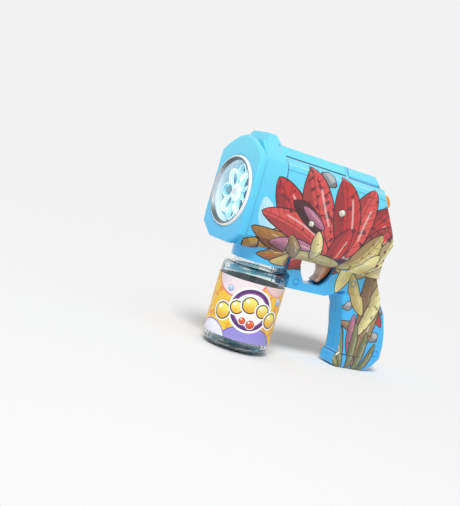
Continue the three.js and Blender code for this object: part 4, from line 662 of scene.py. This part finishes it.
def label_paper():
    """The label round the bottle: yellow with orange flecks, bubbles and rings, and plain paper inside."""
    material, t, shader = new_material("printed bottle label")
    surface(t, shader, 0.3, grain=0.4)
    place = t.scale(t.place(), 1 / mm)
    sine, cosine = math.sin(TOWARDS_CAMERA), math.cos(TOWARDS_CAMERA)
    ahead = t.vector("DOT_PRODUCT", place, (sine, -cosine, 0))
    beside = t.vector("DOT_PRODUCT", place, (cosine, sine, 0))
    along = t.times(t.math("ARCTAN2", beside, ahead), WRAP_RADIUS)
    spot = t.join(along, t.minus(t.split(place)["Z"], LABEL_MIDDLE))
    fleck = t.noise(spot, 0.13, 2.0, 0.45)
    colour = t.mix(t.smooth(fleck, 0.54, 0.56), srgb(246, 202, 62), srgb(238, 156, 44))
    colour = t.mix(t.smooth(t.noise(spot, 0.5, 0.0), 0.72, 0.73), colour, srgb(240, 168, 40))
    for x, z, radius, rim, halo, gleam, top, bottom, edge in LABEL_PRINT:
        colour = t.group(
            painted_bubble, Place=spot, Under=colour, Middle=(x, z, 0), Radius=radius, Rim=rim, Halo=halo,
            Gleam=gleam, Top=srgb(*top), Bottom=srgb(*bottom), Edge=srgb(*edge),
        )["Colour"]
    radius = t.vector("LENGTH", t.vector("MULTIPLY", place, (1, 1, 0)))
    paper = t.smooth(radius, LABEL_PRINTED, LABEL_PLAIN)
    t.feed(shader.inputs["Base Color"], t.mix(paper, colour, srgb(236, 238, 234)))
    return material


def bottle_plastic():
    """Clear plastic, thick and teal in streaks round the foot and the shoulder."""
    material, t, shader = new_material("clear bottle plastic")
    surface(t, shader, 0.05, grain=0.1, height=0.02 * mm)
    place = t.place()
    height = t.place_mm()["Z"]
    foot = t.smooth(t.absolute(t.minus(height, BOTTLE_FOOT)), 3.4, 2.2)
    shoulder = t.smooth(t.absolute(t.minus(height, BOTTLE_SHOULDER)), 4, 2)
    streaks = t.smooth(t.noise(t.vector("MULTIPLY", place, (52, 52, 250)), 1.0, 1.0), 0.5, 0.56)
    thick = t.times(t.most(foot, shoulder), streaks)
    t.feed(shader.inputs["Base Color"], t.mix(thick, srgb(246, 252, 253), srgb(120, 176, 196)))
    shader.inputs["Transmission Weight"].default_value = 1.0
    shader.inputs["IOR"].default_value = 1.3
    return material


painted_bubble = painted_bubble_group()
dress("bottle", bottle_plastic())
dress("bottle_label", label_paper())


# Lamps, wheel and ring of the muzzle
def lamp_spill_group():
    """Light that the four lamps throw on what is round them, from 1 at a lamp to 0 some way from it."""
    group, t, given, out = new_group("lamp spill", [("Reach", "Float", 9.0)], [("Glow", "Float")])
    place = t.place_mm()
    y = t.minus(t.absolute(place["Y"]), LAMP_OFFSET)
    z = t.minus(t.absolute(t.minus(place["Z"], AXIS_Z)), LAMP_OFFSET)
    fall = t.over(t.vector("LENGTH", t.join(y, z)), given["Reach"])
    t.feed(out["Glow"], t.math("POWER", math.e, t.times(fall, fall, -1.0)))
    return group


lamp_spill = lamp_spill_group()


def lit(name, colour, light_colour, strength, reach):
    """Plastic that the lamps light up where it is near them."""
    material, t, shader = new_material(name)
    surface(t, shader, 0.25)
    shader.inputs["Base Color"].default_value = colour
    glow = t.group(lamp_spill, Reach=reach)["Glow"]
    t.feed(shader.inputs["Emission Color"], t.mix(glow, (0, 0, 0, 1), light_colour))
    shader.inputs["Emission Strength"].default_value = strength
    return material


def petal_edges_group():
    """How far a point of the wheel is on a petal's wall or in the valley between two petals, from 0 to 1."""
    group, t, _, out = new_group("petal edges", [], [("Edge", "Float")])
    place = t.place_mm()
    y, z = place["Y"], t.minus(place["Z"], AXIS_Z)
    radius = t.vector("LENGTH", t.join(y, z))
    half_petal = math.pi / PETALS
    turn = t.math("WRAP", t.math("ARCTAN2", z, y), half_petal, -half_petal)
    outwards = t.minus(t.times(radius, t.math("COSINE", turn)), PETAL_ORBIT)
    aside = t.times(radius, t.math("SINE", turn))
    rim = t.vector("LENGTH", t.join(t.over(outwards, PETAL_LONG), t.over(aside, PETAL_WIDE)))
    wall = t.smooth(t.absolute(t.minus(rim, 1.0)), 0.05, 0.08)
    to_next_petal = t.times(radius, t.math("SINE", t.minus(half_petal, t.absolute(turn))))
    valley = t.smooth(to_next_petal, 0.5, 0.25)
    t.feed(out["Edge"], t.times(t.most(wall, valley), t.smooth(radius, HUB_RADIUS, HUB_RADIUS + 1)))
    return group


petal_edges = petal_edges_group()


def frosted(name, colour, light_colour, strength, reach):
    """Clear plastic with lamplight in it, most of it before the lamps, and painted shade, a darker teal, at
    the petals' walls and in the valleys between them.
    """
    material, t, shader = new_material(name)
    surface(t, shader, 0.12, grain=0.5)
    edge = t.group(petal_edges)["Edge"]
    # Painted shade: teal at the petals' walls and in the valleys between them.
    t.feed(shader.inputs["Base Color"], t.mix(edge, colour, srgb(158, 208, 222)))
    shader.inputs["Transmission Weight"].default_value = 0.25
    glow = t.group(lamp_spill, Reach=reach)["Glow"]
    light = t.mix(glow, tinted(light_colour, (0.12, 0.12, 0.12)), light_colour)
    # Painted shade dims the lamplight at the walls and valleys, less so near the lamps.
    deeper = t.times(edge, t.minus(0.74, t.times(glow, 0.4)))
    t.feed(shader.inputs["Emission Color"], t.mix(deeper, light, srgb(52, 98, 116)))
    shader.inputs["Emission Strength"].default_value = strength
    return material


def ring_plastic():
    """White plastic with painted shadow in the recess that runs round inside the muzzle's face and in the
    groove round it, and painted shade greying the ring's inside.
    """
    material, t, shader = new_material("muzzle ring plastic")
    surface(t, shader, 0.2)
    place = t.place_mm()
    height = t.minus(place["Z"], AXIS_Z)
    radius = t.vector("LENGTH", t.join(place["Y"], height))
    # Painted shadow in the groove.
    groove = t.smooth(t.absolute(t.minus(radius, GROOVE_RADIUS)), 0.35, 0.15)
    near_face = t.smooth(place["X"], RECESS_BACK + 0.3, RECESS_BACK - 0.3)
    # Painted shadow in the recess, darkest at its top and foot.
    recess = t.times(t.smooth(radius, RECESS_RADIUS + 0.3, RECESS_RADIUS), near_face)
    top_and_foot_shade = t.smooth(t.absolute(height), 8, 21)
    # Painted shade: the ring's inside is greyer than its face.
    tube = t.smooth(radius, RECESS_RADIUS + 0.1, RECESS_RADIUS - 0.3)
    colour = t.mix(tube, srgb(246, 248, 250), srgb(214, 226, 232))
    colour = t.mix(recess, colour, t.mix(top_and_foot_shade, srgb(184, 194, 200), srgb(84, 98, 104)))
    t.feed(shader.inputs["Base Color"], t.mix(groove, colour, srgb(84, 94, 102)))
    return material


lamp_board = lit("lit lamp board", srgb(50, 116, 140), srgb(196, 240, 255), strength=2.0, reach=4.5)
chamber = lit("lit air chamber", srgb(14, 56, 72), srgb(120, 200, 232), strength=0.3, reach=5.0)
wheel = frosted("lit clear wheel", srgb(228, 243, 248), srgb(228, 247, 254), strength=1.3, reach=8.0)
dress("led_board", lamp_board)
dress("air_chamber", chamber)
dress("bubble_wheel", wheel)
dress("wheel_shaft", metal("bright shaft", srgb(236, 240, 242), roughness=0.35))
dress("nozzle_ring", ring_plastic())


# Rounded mouldings
TRIM_EDGE, SHELL_EDGE = 0.6 * mm, 0.5 * mm  # widths of the rounded edges


def select_only(piece):
    bpy.ops.object.select_all(action="DESELECT")
    piece.select_set(True)
    bpy.context.view_layer.objects.active = piece


def copy_of(node_name, suffix="moulding"):
    """A piece with a copy of a node's mesh, its loose triangles joined and its flat faces made whole."""
    node = frame["nodes"][node_name]
    piece = bpy.data.objects.new(f"{node_name}_{suffix}", node.data.copy())
    bpy.context.collection.objects.link(piece)
    piece.matrix_world = node.matrix_world
    select_only(piece)
    bpy.ops.object.mode_set(mode="EDIT")
    bpy.ops.mesh.select_all(action="SELECT")
    bpy.ops.mesh.remove_doubles(threshold=0.005 * mm)
    bpy.ops.mesh.dissolve_limited(angle_limit=math.radians(1.5))
    bpy.ops.mesh.normals_make_consistent(inside=False)
    bpy.ops.object.mode_set(mode="OBJECT")
    return piece


def rounded(node_name, width, segments=2, angle=28, smooth=38):
    """A copy of a node whose edges are rounded, which stands for it."""
    piece = copy_of(node_name)
    bevel = piece.modifiers.new("edges", "BEVEL")
    bevel.width = width
    bevel.segments = segments
    bevel.limit_method = "ANGLE"
    bevel.angle_limit = math.radians(angle)
    bevel.use_clamp_overlap = True
    bevel.harden_normals = False
    bpy.ops.object.modifier_apply(modifier=bevel.name)
    select_only(piece)
    bpy.ops.object.shade_smooth_by_angle(angle=math.radians(smooth))
    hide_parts(node_name)
    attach(piece, body_of[node_name])
    return piece


def wear_print(piece):
    """Gives a piece the printed plastics: two along the barrel and one below the barrel's floor."""
    select_only(piece)
    bpy.ops.object.mode_set(mode="EDIT")
    bpy.ops.mesh.select_all(action="SELECT")
    seam = (PRINT_SEAM * mm, 0, 0)
    bpy.ops.mesh.bisect(plane_co=seam, plane_no=(1, 0, 0), threshold=0)
    bpy.ops.object.mode_set(mode="OBJECT")
    piece.data.materials.clear()
    for material in printed_plastics:
        piece.data.materials.append(material)
    for face in piece.data.polygons:
        behind = int(face.center.x > PRINT_SEAM * mm)
        face.material_index = 2 if face.center.z < BARREL_FLOOR * mm else behind


for name in ("nozzle_ring", "rear_button", "trigger"):
    rounded(name, TRIM_EDGE)
for name in ("front_bezel", "top_cover"):
    rounded(name, TRIM_EDGE, smooth=14)
for name in ("left_shell", "right_shell", "battery_door", "bottle_socket"):
    wear_print(rounded(name, SHELL_EDGE, smooth=14))


def spring(node_name):
    """A copy of a spring, with a mesh of its own, which stands for it and rides with its body."""
    piece = copy_of(node_name, "coil")
    bpy.ops.object.shade_smooth_by_angle(angle=math.radians(60))
    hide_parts(node_name)
    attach(piece, body_of[node_name])
    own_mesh(piece)


spring("trigger_spring")
spring("button_spring")


# Floor, lights and camera
GUN_MIDDLE = Vector((30, 0, 80)) * mm  # the lights point at this


def floor():
    bpy.ops.object.select_all(action="DESELECT")
    bpy.ops.mesh.primitive_plane_add(size=40)
    ground = bpy.context.object
    ground.name = "floor"
    material, _, shader = new_material("pale floor")
    shader.inputs["Base Color"].default_value = srgb(249, 249, 249)
    shader.inputs["Roughness"].default_value = 1.0
    shader.inputs["Specular IOR Level"].default_value = 0.0
    ground.data.materials.append(material)


def room(strength, seen):
    """An even white room. The eye, metal and glass see it as bright as the far floor, so no edge shows."""
    world = bpy.data.worlds.new("studio")
    bpy.context.scene.world = world
    world.use_nodes = True
    t = Tree(world.node_tree)
    background = world.node_tree.nodes["Background"]
    background.inputs["Color"].default_value = (1, 1, 1, 1)
    path = t.node("ShaderNodeLightPath").outputs
    sees = t.most(path["Is Camera Ray"], path["Is Glossy Ray"], path["Is Transmission Ray"])
    t.feed(background.inputs["Strength"], t.plus(strength, t.times(sees, seen - strength)))


def lamp(kind, name, place, energy, size):
    light = bpy.data.lights.new(name, kind)
    light.energy = energy
    if kind == "SUN":
        light.angle = size
    else:
        light.size = size
    holder = bpy.data.objects.new(name, light)
    holder.location = place
    holder.rotation_mode = "QUATERNION"
    holder.rotation_quaternion = (GUN_MIDDLE - Vector(place)).to_track_quat("-Z", "Y")
    bpy.context.collection.objects.link(holder)


def light():
    room(strength=0.46, seen=0.891)
    lamp("SUN", "sun", place=(-0.55, -0.75, 1.2), energy=1.98, size=math.radians(20))
    lamp("AREA", "strip light", place=(-0.25, -0.4, 0.45), energy=0.2, size=0.3)


def camera():
    """A camera that sees the gun as the photograph does, from a little above and leaning over."""
    turn, rise, roll = TOWARDS_CAMERA, math.radians(4.125), math.radians(16.058)
    aim, distance = Vector((-26.0, 0, 70.2)) * mm, 0.6
    focal_pixels, photo_height_pixels, sensor = 799.935, 506, 36
    back = Vector((math.sin(turn) * math.cos(rise), -math.cos(turn) * math.cos(rise), math.sin(rise)))
    level = Vector((math.cos(turn), math.sin(turn), 0))
    upright = back.cross(level)
    right = math.cos(roll) * level + math.sin(roll) * upright
    up = -math.sin(roll) * level + math.cos(roll) * upright
    data = bpy.data.cameras.new("camera")
    data.sensor_width = sensor
    data.lens = focal_pixels * sensor / photo_height_pixels
    data.clip_start, data.clip_end = 0.01, 50
    cam = bpy.data.objects.new("camera", data)
    place = aim + back * distance
    cam.matrix_world = Matrix.Translation(place) @ Matrix((right, up, back)).transposed().to_4x4()
    bpy.context.collection.objects.link(cam)
    bpy.context.scene.camera = cam


floor()
light()
camera()
bpy.context.scene.view_settings.view_transform = "Standard"
